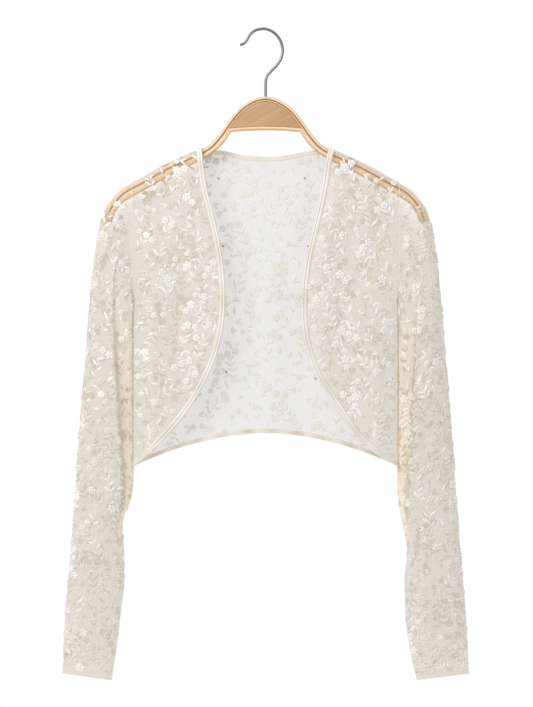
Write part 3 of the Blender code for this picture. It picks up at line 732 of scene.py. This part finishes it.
def embroider(name, pattern, shift, flip, inside, cloth, threads, rise_share=1.0, ivory_share=0.16):
    """Stitches the part of the pattern that lies inside a panel; a negative share of the rise is its reverse.

    The threads are the main one, a darker one, and for a sleeve one coloured with painted warm shade for its
    fold and one behind it.
    """
    def moved(s, t):
        return (FIELD_WIDTH - s if flip else s) + shift[0], t + shift[1]

    s, t, turn, size = np.array(pattern.blossoms).T
    s, t = moved(s, t)
    keep = inside(s, t, size)
    size = size[keep]
    groups = [many(BLOSSOM_SHAPE, s[keep], t[keep], turn[keep], size, size, BLOSSOM_RISE)]

    s, t, turn, length, width = np.array(pattern.leaves).T
    s, t = moved(s, t)
    turn = np.pi - turn if flip else turn
    half = length / 2
    keep = inside(s + half * np.cos(turn), t + half * np.sin(turn), half * 0.9)
    groups.append(many(LEAF_SHAPE, s[keep], t[keep], turn[keep], length[keep], width[keep], LEAF_RISE))
    for line in pattern.stems:
        s, t = moved(*line.T)
        if inside(s, t, np.full(len(s), 0.6)).all():
            groups.append(stem_ribbon(np.stack([s, t], 1)))

    starts = np.cumsum([0] + [len(points) for points, _ in groups])
    flat = np.concatenate([points for points, _ in groups])
    faces = np.concatenate([triangles + start for (_, triangles), start in zip(groups, starts)])
    placed = cloth.place(flat[:, 0], flat[:, 1], flat[:, 2] * rise_share + np.sign(rise_share) * LIFT)
    made = add_mesh(name, placed, faces, threads[0])
    for extra in threads[1:]:
        made.data.materials.append(extra)
    if len(threads) > 1:
        first = faces[:, 0]
        cell = np.floor(flat[first, :2] / THREAD_PATCH)
        shade = np.modf(np.abs(np.sin(cell[:, 0] * 12.99 + cell[:, 1] * 78.23)) * 437.5)[0]
        pick = (shade < ivory_share).astype(np.int32)
        if len(threads) > 2:
            pick[placed[first, 1] > 1.0] = 3
            pick[cloth.painted_warm_shade_at(flat[first, 0], flat[first, 1]) > PAINTED_WARM_SHADE_FROM] = 2
        made.data.polygons.foreach_set("material_index", pick)
    return made


# Meshes
def add_mesh(name, points, faces, finish, uv=None):
    """A smooth mesh from points in millimetres and faces of one length."""
    faces = np.asarray(faces)
    mesh = bpy.data.meshes.new(name)
    mesh.vertices.add(len(points))
    mesh.vertices.foreach_set("co", (np.asarray(points) * MM).astype(np.float32).ravel())
    sides = faces.shape[1]
    mesh.loops.add(faces.size)
    mesh.loops.foreach_set("vertex_index", faces.ravel().astype(np.int32))
    mesh.polygons.add(len(faces))
    mesh.polygons.foreach_set("loop_start", np.arange(0, faces.size, sides, dtype=np.int32))
    mesh.update(calc_edges=True)
    if uv is not None:
        layer = mesh.uv_layers.new(name="cloth")
        layer.data.foreach_set("uv", uv[faces.ravel()].astype(np.float32).ravel())
    mesh.materials.append(finish)
    mesh.shade_smooth()
    made = bpy.data.objects.new(name, mesh)
    bpy.context.scene.collection.objects.link(made)
    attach(made, "root")
    return made


def grid_faces(rows, columns, closed=False):
    """Four-sided faces between rows of points; closed rows are rings."""
    index = np.arange(rows * columns).reshape(rows, columns)
    after = np.roll(index, -1, axis=1)
    faces = np.stack([index[:-1], index[1:], after[1:], after[:-1]], -1)
    return (faces if closed else faces[:, :-1]).reshape(-1, 4)


def add_values(made, name, values):
    layer = made.data.attributes.new(name, "FLOAT", "POINT")
    layer.data.foreach_set("value", np.asarray(values).ravel().astype(np.float32))


def add_panel(name, nodes, grid, finish, painted_warm_shade, sheer):
    """A sheet of net in place of the panel's solids."""
    rows, columns, _ = grid.shape
    uv = np.stack([arc_lengths(grid, 1), -arc_lengths(grid, 0)], -1).reshape(-1, 2) * MM
    made = add_mesh(name, grid.reshape(-1, 3), grid_faces(rows, columns), finish, uv)
    add_values(made, "painted_warm_shade", painted_warm_shade)
    add_values(made, "sheer", sheer)
    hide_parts(*nodes)
    return made


# Section of a binding: (share of the width, rise on the outside, rise on the inside)
BINDING_SECTION = (
    (0.000, 0.00, 0.00), (0.015, 0.75, 0.45), (0.060, 1.25, 0.80), (0.130, 1.60, 1.00), (0.210, 1.70, 1.05),
    (0.290, 1.45, 0.95), (0.350, 1.00, 0.80), (0.400, 0.55, 0.65), (0.450, 0.85, 0.65), (0.540, 1.15, 0.70),
    (0.680, 1.30, 0.75), (0.820, 1.20, 0.75), (0.920, 0.95, 0.60), (0.975, 0.55, 0.35), (1.000, 0.00, 0.00),
)

# Painted highlight and shade across a satin binding, from its free edge: 0 is the lit colour, 1 the shaded
# one
painted_satin_sheen = curve_through(
    ((0.0, 0.9), (0.06, 0.35), (0.20, 0.0), (0.34, 0.12), (0.40, 0.8), (0.47, 0.22), (0.8, 0.25), (1.0, 0.5))
)


def painted_satin_shade_along(patches, along):
    """The strength of a binding's painted shade patches at places along it."""
    total = np.zeros_like(along)
    for middle, half_length, strength in patches:
        total = np.maximum(total, strength * np.exp(-(((along - middle) / half_length) ** 2)))
    return total


def add_binding(name, node, face, edge, inner, finish, painted_satin_shade):
    """A folded satin strip between two lines of (x, z), rolled at the free edge."""
    share, rise, sink = np.array(BINDING_SECTION).T
    flat = edge[:, None] * (1 - share[:, None]) + inner[:, None] * share[:, None]
    middle = on_body(face, flat)
    normal = unit(np.cross(np.gradient(middle, axis=0), np.gradient(middle, axis=1)))
    normal = normal * np.sign(normal[..., 1].mean()) * face
    outside, inside = middle + normal * rise[:, None], middle - normal * sink[:, None]
    loop = np.concatenate([outside, inside[:, -2:0:-1]], 1)
    rows, columns, _ = loop.shape
    made = add_mesh(name, loop.reshape(-1, 3), grid_faces(rows, columns, closed=True), finish)
    # Painted sheen: highlight and shade across the strip, and painted shade patches along it
    share_round = np.concatenate([share, share[-2:0:-1]])[None]
    painted_sheen = painted_satin_sheen(share_round) + (0.95 - 0.35 * share_round) * painted_satin_shade[:, None]
    add_values(made, "painted_sheen", np.clip(painted_sheen, 0.0, 1.0))
    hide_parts(node)
    return made


TUBE_SIDES = 6
ACROSS_TUBES = np.array([0.31, 0.9, 0.27])  # a direction that no seam follows


def add_tube(name, line, radius, finish):
    """A thin round cord along a line of points."""
    run = unit(np.gradient(line, axis=0))
    aside = unit(np.cross(run, ACROSS_TUBES))
    other = np.cross(run, aside)
    angle = np.linspace(0.0, 2 * np.pi, TUBE_SIDES, endpoint=False)[:, None]
    ring = aside[:, None] * np.cos(angle) + other[:, None] * np.sin(angle)
    points = line[:, None] + ring * radius
    return add_mesh(name, points.reshape(-1, 3), grid_faces(len(line), TUBE_SIDES, closed=True), finish)


# Finishes
class Shading:
    """The nodes of a finish or of the world."""

    def __init__(self, tree):
        self.tree = tree

    def give(self, socket, value):
        """Joins a socket to an output, or sets it."""
        if isinstance(value, bpy.types.NodeSocket):
            self.tree.links.new(value, socket)
        else:
            socket.default_value = value

    def put(self, kind, inputs=(), **settings):
        """The outputs of a new node with these settings and inputs."""
        made = self.tree.nodes.new(f"ShaderNode{kind}")
        for key, value in settings.items():
            setattr(made, key, value)
        for key, value in dict(inputs).items():
            self.give(made.inputs[key], value)
        return made.outputs

    def attribute(self, name):
        return self.put("Attribute", attribute_name=name)["Fac"]

    def math(self, operation, *values):
        return self.put("Math", enumerate(values), operation=operation)[0]

    def map_range(self, value, low, high, to_low=0.0, to_high=1.0):
        inputs = {"Value": value, "From Min": low, "From Max": high, "To Min": to_low, "To Max": to_high}
        return self.put("MapRange", inputs)["Result"]

    def mix(self, share, first, second):
        """A colour that runs from the first to the second, each (r, g, b) or an output."""
        a, b = [(*end, 1.0) if isinstance(end, tuple) else end for end in (first, second)]
        return self.put("Mix", {"Factor": share, "A": a, "B": b}, data_type="RGBA")["Result"]


def finish_named(name, roughness):
    made = bpy.data.materials.new(name)
    made.use_nodes = True
    made.use_backface_culling = False
    inputs = made.node_tree.nodes["Principled BSDF"].inputs
    inputs["Roughness"].default_value = roughness
    return made, Shading(made.node_tree), inputs


def plain(name, colour, roughness, metallic=0.0, sheen=0.0, alpha=1.0):
    made, _, inputs = finish_named(name, roughness)
    inputs["Base Color"].default_value = (*colour, 1.0)
    inputs["Metallic"].default_value = metallic
    inputs["Sheen Weight"].default_value = sheen
    inputs["Alpha"].default_value = alpha
    return made


def satin_finish(name, light, dark, roughness):
    made, shading, inputs = finish_named(name, roughness)
    inputs["Sheen Weight"].default_value = 0.15
    # The second colour is the satin's painted shade
    shading.give(inputs["Base Color"], shading.mix(shading.attribute("painted_sheen"), light, dark))
    return made


NET_CELLS = 620.0  # cells of the net to a metre
SHEER_SHARE = 0.62  # how much of its cover the net loses where it is stretched over the wood


def net_finish(name, colour, low, high, painted_warm_shade_colour):
    """Fine net: threads round small cells, laid out on the cloth's own flat coordinates."""
    made, shading, inputs = finish_named(name, 0.6)
    inputs["Specular IOR Level"].default_value = 0.25
    where = shading.put("UVMap", uv_map="cloth")["UV"]
    cells = {"Vector": where, "Scale": NET_CELLS, "Randomness": 0.35}
    cells = shading.put("TexVoronoi", cells, voronoi_dimensions="2D", feature="DISTANCE_TO_EDGE")
    cover = shading.map_range(cells["Distance"], 0.05, 0.17, high, low)
    kept = shading.math("MULTIPLY_ADD", shading.attribute("sheer"), -SHEER_SHARE, 1.0)
    shading.give(inputs["Alpha"], shading.math("MULTIPLY", cover, kept))
    # The base colour runs to the painted warm shade colour as the painted warm shade attribute says
    shading.give(inputs["Base Color"], shading.mix(shading.attribute("painted_warm_shade"), colour, painted_warm_shade_colour))
    return made


# Painted shade that browns wood where its faces turn away from the front
PAINTED_EDGE_SHADE = (0.50, 0.27, 0.12)


def wood_finish(name, light, dark, across, grain_scale, side_shade=0.0, painted_edge_shade_share=0.75, crowned=False):
    """Wood with fine grain, square to the direction `across` of (|x|, z), with painted shade browning its
    edges.
    """
    made, shading, inputs = finish_named(name, 0.42)
    inputs["Specular IOR Level"].default_value = 0.4
    spot = shading.put("SeparateXYZ", {0: shading.put("TexCoord")["Object"]})
    reach = spot["X"] if side_shade else shading.math("ABSOLUTE", spot["X"])
    level = shading.math("MULTIPLY_ADD", spot["Z"], across[1], shading.math("MULTIPLY", reach, across[0]))
    place = shading.put("CombineXYZ", {"X": spot["X"], "Y": level, "Z": spot["Y"]})[0]
    stretched = shading.put("Mapping", {"Vector": place, "Scale": (18.0, grain_scale, 40.0)})[0]
    noise = {"Vector": stretched, "Scale": 1.0, "Detail": 4.0, "Distortion": 0.4}
    share = shading.map_range(shading.put("TexNoise", noise)["Fac"], 0.32, 0.68)
    if side_shade:
        share = shading.math("MULTIPLY_ADD", spot["X"], side_shade, share)
    if crowned:
        # On crowned faces the painted shade follows their edge attribute
        painted_edge_shade = shading.map_range(shading.attribute("edge"), 0.3, 1.0, 0.0, painted_edge_shade_share)
    else:
        facing = shading.put("SeparateXYZ", {0: shading.put("NewGeometry")["Normal"]})
        painted_edge_shade = shading.map_range(shading.math("ABSOLUTE", facing["Y"]), 0.98, 0.45, 0.0, painted_edge_shade_share)
    shading.give(inputs["Base Color"], shading.mix(painted_edge_shade, shading.mix(share, light, dark), PAINTED_EDGE_SHADE))
    return made


# The last colour of each net is its painted warm shade, for recesses and close layers
front_net = net_finish("ivory_net_front", (0.79, 0.725, 0.60), 0.24, 0.74, (0.88, 0.68, 0.44))
back_net = net_finish("ivory_net_back", (0.72, 0.71, 0.69), 0.42, 0.82, (0.80, 0.70, 0.54))
sleeve_net = net_finish("ivory_net_sleeve", (0.735, 0.675, 0.575), 0.32, 0.79, (0.98, 0.80, 0.62))
thread = plain("white_thread", (0.92, 0.895, 0.84), 0.32, sheen=0.2)
ivory_thread = plain("ivory_thread", (0.83, 0.78, 0.68), 0.32, sheen=0.2)
# A thread coloured with painted warm shade, for motifs in a sleeve's fold
thread_with_painted_fold_shade = plain("thread_painted_fold_shade", (0.96, 0.89, 0.80), 0.4, sheen=0.2)
rear_thread = plain("thread_behind", (0.93, 0.91, 0.87), 0.32, sheen=0.2, alpha=0.7)
reverse_thread = plain("ivory_thread_reverse", (0.815, 0.795, 0.735), 0.7)
# The satin's second colour is its painted shade
satin = satin_finish("ivory_satin", (0.93, 0.91, 0.87), (0.66, 0.58, 0.43), 0.28)
seam_thread = plain("ivory_seam", (0.84, 0.78, 0.68), 0.6)
amber = plain("amber_bead", (0.45, 0.23, 0.08), 0.25)
light_wood = wood_finish("honey_wood", (0.90, 0.66, 0.42), (0.76, 0.50, 0.27), (0.45, 0.9), 900.0)
# The crowned faces take the honey wood's own colour lifted by a painted highlight, with more painted shade at
# their edges
crowned_wood_painted_highlight = wood_finish(
    "honey_wood_crowned_painted_highlight", (0.98, 0.76, 0.52), (0.88, 0.62, 0.38), (0.45, 0.9), 900.0, painted_edge_shade_share=0.8,
    crowned=True,
)
tan_wood = wood_finish(
    "tan_wood", (0.66, 0.43, 0.24), (0.50, 0.28, 0.14), (-0.45, 0.89), 1100.0, side_shade=5.0
)
glue = plain("dark_glue_line", (0.27, 0.13, 0.06), 0.6)
steel = plain("brushed_steel", (0.245, 0.23, 0.225), 0.45, metallic=1.0)


# Net, bindings and seams
# Painted warm shade of a body panel, strongest in the middle of each patch
def painted_warm_shade_patches(face, grid):
    x, z = grid[..., 0], grid[..., 2]
    total = np.zeros_like(x)
    for middle_x, middle_z, width, height, strength in PAINTED_WARM_SHADE_PATCHES[face]:
        reach = ((x - middle_x) / width) ** 2 + ((z - middle_z) / height) ** 2
        total = np.maximum(total, strength * np.exp(-reach))
    return total


SHEER_FALL, SHEER_FADE = 15.0, 16.0


def sheer_over_wood(grid):
    """1 where a body panel lies on the hanger's arms, fading below them."""
    x, z = grid[..., 0], grid[..., 2]
    past_neck = smooth_step((np.abs(x) - NECK_REACH + 1.0) / 8.0)
    return (1 - smooth_step((ridge(x) - z - SHEER_FALL) / SHEER_FADE)) * past_neck


panels, painted_warm_shades, sheers, sheets = {}, {}, {}, {}
panels["back"] = on_body(BACK, back_panel())
for side, word in SIDES:
    panels[f"front_{word}"] = on_body(FRONT, front_panel(side))
    name = f"sleeve_{word}"
    panels[name], painted_warm_shades[name], sheers[name] = sleeve_rings(side)
for name, face in (("back", BACK), ("front_right", FRONT), ("front_left", FRONT)):
    painted_warm_shades[name], sheers[name] = painted_warm_shade_patches(face, panels[name]), sheer_over_wood(panels[name])
for (name, grid), finish in zip(panels.items(), (back_net, front_net, sleeve_net, front_net, sleeve_net)):
    nodes = [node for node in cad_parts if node.startswith(name)]
    sheets[name] = add_panel(f"net_{name}", nodes, grid, finish, painted_warm_shades[name], sheers[name])
going_with = {name: [] for name in sheets}

trims = []
for side, word in SIDES:
    edge, inner = front_line(side, 0.0), front_line(side, FRONT_BINDING)
    painted_satin_shade = 0.6 * painted_satin_shade_along(FRONT_PAINTED_SHADE, edge[:, 1])
    trims.append((f"front_{word}", f"front_{word}", FRONT, edge, inner, painted_satin_shade))
neck_x = spread(NECK_LOW_REACH, 90)
neck_top_x = neck_x * NECK_REACH / NECK_LOW_REACH
neck_edge = np.stack([neck_top_x, neck_top(neck_top_x)], 1)
neck_inner = np.stack([neck_x, neck_low(neck_x)], 1)
trims.append(("back", "neck", BACK, neck_edge, neck_inner, 0.6 * painted_satin_shade_along(NECK_PAINTED_SHADE, neck_x)))
hem_x = spread(SIDE_REACH, 130)
hem_line = np.stack([hem_x, hem_height(hem_x)], 1)
hem_inner = hem_line + np.array([0.0, HEM_BINDING])
trims.append(("back", "hem", BACK, hem_line, hem_inner, painted_satin_shade_along(HEM_PAINTED_SHADE, hem_x)))
for panel, name, face, edge, inner, painted_satin_shade in trims:
    trim = add_binding(f"satin_{name}", f"binding_{name}", face, edge, inner, satin, painted_satin_shade)
    going_with[panel].append(trim)

SEAM_POINTS = 60
SHOULDER_POINTS = 50
for side, word in SIDES:
    rings = panels[f"sleeve_{word}"]
    armhole = rings[0] * np.array([0.0, 1.0, 1.0]) + np.array([side * (SIDE_REACH + 0.45), 0.0, 0.0])
    seam_z = np.linspace(UNDERARM, hem_height(SIDE_REACH) + 1.0, SEAM_POINTS)
    seam_x = np.full(SEAM_POINTS, side * (SIDE_REACH + 0.1))
    side_seam = np.stack([seam_x, np.zeros(SEAM_POINTS), seam_z], 1)
    reach = np.linspace(NECK_LOW_REACH, SIDE_REACH, SHOULDER_POINTS)
    shoulder = np.stack([side * reach, np.zeros(SHOULDER_POINTS), ridge(reach) + 0.2], 1)
    for panel, seam, line, radius in (
        ("sleeve", "armhole_seam", armhole, 0.36), ("sleeve", "cuff_edge", rings[-1], 0.6),
        ("front", "side_seam", side_seam, 0.5), ("front", "shoulder_seam", shoulder, 0.6),
    ):
        going_with[f"{panel}_{word}"].append(add_tube(f"{seam}_{word}", line, radius, seam_thread))


# Where each panel takes the pattern
def inside_front(side):
    def test(s, t, margin):
        z = np.clip(t, -584.0, ridge(NECK_REACH))
        edge = front_edge_reach[side](z)
        slope = (front_edge_reach[side](z - 1.0) - front_edge_reach[side](z + 1.0)) / 2.0
        off_edge = (side * s - edge) / np.hypot(1.0, slope)
        off_binding = off_edge > FRONT_BINDING - 2.0 + margin * 0.8
        off_side = side * s < SIDE_REACH - 0.6 - margin
        below_ridge = t < ridge(s) + ROLL_EXTRA - 6.0 - margin
        return off_binding & off_side & below_ridge & (t > hem_height(SIDE_REACH) + 10)
    return test


def inside_back(s, t, margin):
    reach = np.abs(s)
    top = np.where(reach > NECK_LOW_REACH, ridge(s) + ROLL_EXTRA - margin, neck_low(s) + 1.0 - margin * 0.8)
    above_hem = t > hem_height(s) + HEM_BINDING - 1.5 + margin * 0.8
    return (reach < SIDE_REACH - 0.6 - margin) & (t < top) & above_hem


BARE_RIDGE = 17.0  # half the width of the strip without motifs along a sleeve's top edge
BARE_RIDGE_LENGTH = 62.0


def inside_sleeve(cloth):
    def test(s, t, margin):
        girth = np.interp(t, np.arange(cloth.rows) * cloth.ROW, cloth.girth)
        top = np.interp(cloth.share(s, t), np.linspace(0, 1, cloth.COLUMNS), cloth.top)
        on_ridge = (np.abs(s) < BARE_RIDGE) & (t > cloth.top.max() - BARE_RIDGE_LENGTH)
        in_length = (t > 4.0 + margin) & (t < top - 1.0 - 1.3 * margin)
        return (np.abs(s) < girth / 2 - 0.8 - margin) & in_length & ~on_ridge
    return test


body_pattern = Pattern(11)
sleeve_pattern = Pattern(29)
two_threads = (thread, ivory_thread)
for panel, word, pattern, across, up, inside, face, threads, rise_share in (
    ("back", "", body_pattern, 0, -650.0, inside_back, BACK, two_threads, 1.0),
    ("back", "_reverse", body_pattern, 0, -650.0, inside_back, BACK, (reverse_thread,), -0.35),
    ("front_right", "", sleeve_pattern, -30, -700.0, inside_front(RIGHT), FRONT, two_threads, 1.0),
    ("front_left", "", sleeve_pattern, 30, -660.0, inside_front(LEFT), FRONT, two_threads, 1.0),
):
    name = f"embroidery_{panel}{word}"
    shift, flip = (across - FIELD_WIDTH / 2, up), panel == "front_left"
    made = embroider(name, pattern, shift, flip, inside, BodyCloth(face), threads, rise_share)
    going_with[panel].append(made)
four_threads = (thread, ivory_thread, thread_with_painted_fold_shade, rear_thread)
for panel, pattern, flip in (("sleeve_right", sleeve_pattern, False), ("sleeve_left", body_pattern, True)):
    cloth = SleeveCloth(panels[panel], painted_warm_shades[panel])
    name, shift = f"embroidery_{panel}", (-FIELD_WIDTH / 2, -12.0)
    made = embroider(name, pattern, shift, flip, inside_sleeve(cloth), cloth, four_threads, ivory_share=0.6)
    going_with[panel].append(made)

# Hanger
for name, finish in (("rim", light_wood), ("rail", light_wood), ("panel", tan_wood), ("hook", steel)):
    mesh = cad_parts[f"hanger_{name}"].data
    mesh.materials.clear()
    mesh.materials.append(finish)


def rim_width(reach):
    return RIM_WIDTH_ARCH + (RIM_WIDTH_ARM - RIM_WIDTH_ARCH) * smooth_step((reach - 60.0) / 30.0)


def inset_from_top(reach, depth):
    z = hanger_top(reach)
    slope = np.gradient(z, reach)
    normal = unit(np.stack([-slope, np.ones_like(slope)], 1))
    return np.stack([reach, z], 1) - normal * np.reshape(depth, (-1, 1))


def mirrored(line):
    return np.concatenate([line[:0:-1] * np.array([-1.0, 1.0]), line])


GLUE_DEPTH = 4.3  # half of it
glue_reach = np.linspace(0.0, 216.5, 150)
upper = mirrored(inset_from_top(glue_reach, rim_width(glue_reach) - 0.4))
lower = mirrored(inset_from_top(glue_reach, rim_width(glue_reach) + GROOVE + 0.3))
around = ((upper, -GLUE_DEPTH), (lower, -GLUE_DEPTH), (lower, GLUE_DEPTH), (upper, GLUE_DEPTH))
corners = np.stack([np.insert(line, 1, y, axis=1) for line, y in around], 1)
glue_faces = grid_faces(len(corners), len(around), closed=True)
glue_line = add_mesh("hanger_glue_line", corners.reshape(-1, 3), glue_faces, glue)
glue_line.data.shade_flat()

# Rounded faces of the hanger's strips, front and behind
HANGER_BOTTOM = (
    (46.5, -136.0), (52.0, -144.5), (59.0, -153.5), (70.0, -163.2), (83.0, -171.6), (120.0, -190.5),
    (165.0, -215.0), (190.0, -229.5), (199.0, -238.0), (206.5, -257.0),
)
BOTTOM_RAIL_TOP, BOTTOM_RAIL_LOW = -132.0, -136.0
BOTTOM_RAIL_CROWN = 2.6
ARCH_CORNER = 48.6


def crowned_strip(name, upper, lower, base, rise):
    """A rounded face of wood between two lines of (x, z), in front and behind, with painted shade browning
    its edges.
    """
    share = np.linspace(0.0, 1.0, 9)
    flat = upper[:, None] * (1 - share[:, None]) + lower[:, None] * share[:, None]
    off_middle = np.abs(2 * share - 1)
    proud = np.broadcast_to(base + rise * np.sqrt(1 - off_middle**2), flat.shape[:2])
    rows, columns = proud.shape
    faces = [np.stack([flat[..., 0], face * proud, flat[..., 1]], -1) for face in (FRONT, BACK)]
    points = np.stack(faces).reshape(-1, 3)
    quads = grid_faces(rows, columns)
    quads = np.concatenate([quads, quads[:, ::-1] + rows * columns])
    made = add_mesh(name, points, quads, crowned_wood_painted_highlight)
    # The edge attribute is the share of painted shade, most at a face's edges
    add_values(made, "edge", np.tile(np.broadcast_to(off_middle**1.5, proud.shape), (2, 1)))


hanger_bottom = curve_through(HANGER_BOTTOM)
rim_reach = np.linspace(0.0, 217.6, 150)
rim_upper = mirrored(inset_from_top(rim_reach, 0.15))
rim_lower = mirrored(inset_from_top(rim_reach, rim_width(rim_reach) - 0.15))
crowned_strip("rim_face", rim_upper, rim_lower, 3.3, 1.85)
arm_top = np.linspace(58.0, 217.2, 90)
arm_low = np.linspace(52.5, 206.3, 90)
for side, word in SIDES:
    upper = inset_from_top(arm_top, rim_width(arm_top) + GROOVE + 0.35) * np.array([side, 1.0])
    lower = np.stack([side * arm_low, hanger_bottom(arm_low) + 0.45], 1)
    crowned_strip(f"rail_face_{word}", upper, lower, 4.7, 0.75)
floor_x = np.linspace(-ARCH_CORNER, ARCH_CORNER, 60)
floor_crown = BOTTOM_RAIL_CROWN * (1 - (floor_x / ARCH_CORNER) ** 2)
upper = np.stack([floor_x, BOTTOM_RAIL_TOP + floor_crown - 0.3], 1)
lower = np.stack([floor_x, BOTTOM_RAIL_LOW + floor_crown + 0.3], 1)
crowned_strip("bottom_rail_face", upper, lower, 4.7, 0.75)

# Beads on the back, near the front edges
BEADS = ((-57.4, -288.5), (57.3, -288.5), (-63.2, -197.0), (52.8, -197.0), (-52.7, -457.4), (67.1, -466.7))
BEAD_RADIUS = 1.35
BEAD_OFF = 1.5  # from the cloth to a bead's middle
BEAD_RINGS, BEAD_SIDES = 7, 10
down = np.linspace(0.0, np.pi, BEAD_RINGS)[:, None]
turn = np.linspace(0.0, 2 * np.pi, BEAD_SIDES, endpoint=False)
level = np.cos(down) * np.ones(BEAD_SIDES)
ball = np.stack([np.sin(down) * np.cos(turn), level, np.sin(down) * np.sin(turn)], -1)
ball = ball.reshape(-1, 3) * BEAD_RADIUS
ball_faces = grid_faces(BEAD_RINGS, BEAD_SIDES, closed=True)
centres = [np.array([x, float(body_y(BACK, np.array(x), np.array(z))) - BEAD_OFF, z]) for x, z in BEADS]
bead_points = np.concatenate([ball + centre for centre in centres])
bead_faces = np.concatenate([ball_faces + k * len(ball) for k in range(len(BEADS))])
add_mesh("beads", bead_points, bead_faces, amber)

# Floor, light and camera
scene = bpy.context.scene
scene.view_settings.view_transform = "Standard"
scene.view_settings.look = "None"
world = bpy.data.worlds.new("studio")
world.use_nodes = True
studio = Shading(world.node_tree)
background = world.node_tree.nodes["Background"].inputs
background["Color"].default_value = (1.0, 1.0, 1.0, 1.0)
direction = studio.put("SeparateXYZ", {0: studio.put("TexCoord")["Generated"]})
studio.give(background["Strength"], studio.map_range(direction["Y"], -0.5, 0.4, 0.70, 1.0))
scene.world = world

bpy.ops.mesh.primitive_cylinder_add(vertices=96, radius=0.6, depth=0.02, location=(0, 0, -1.06))
floor = bpy.context.object
floor.name = "floor"
floor.data.materials.append(plain("pale_floor", (0.86, 0.86, 0.86), 0.7))


def add_to_scene(data, location, degrees):
    made = bpy.data.objects.new(data.name, data)
    made.location = location
    made.rotation_euler = np.radians(degrees)
    scene.collection.objects.link(made)
    return made


key = bpy.data.lights.new("key", "AREA")
key.size = 1.3
key.energy = 27.0
add_to_scene(key, (-1.3, -1.5, 0.9), (58, 0, -41))

camera = bpy.data.cameras.new("camera")
camera.lens = 85.0
camera.sensor_width = 36.0
scene.camera = add_to_scene(camera, (0.0012, -2.236, -0.433), (90, 0, 0))
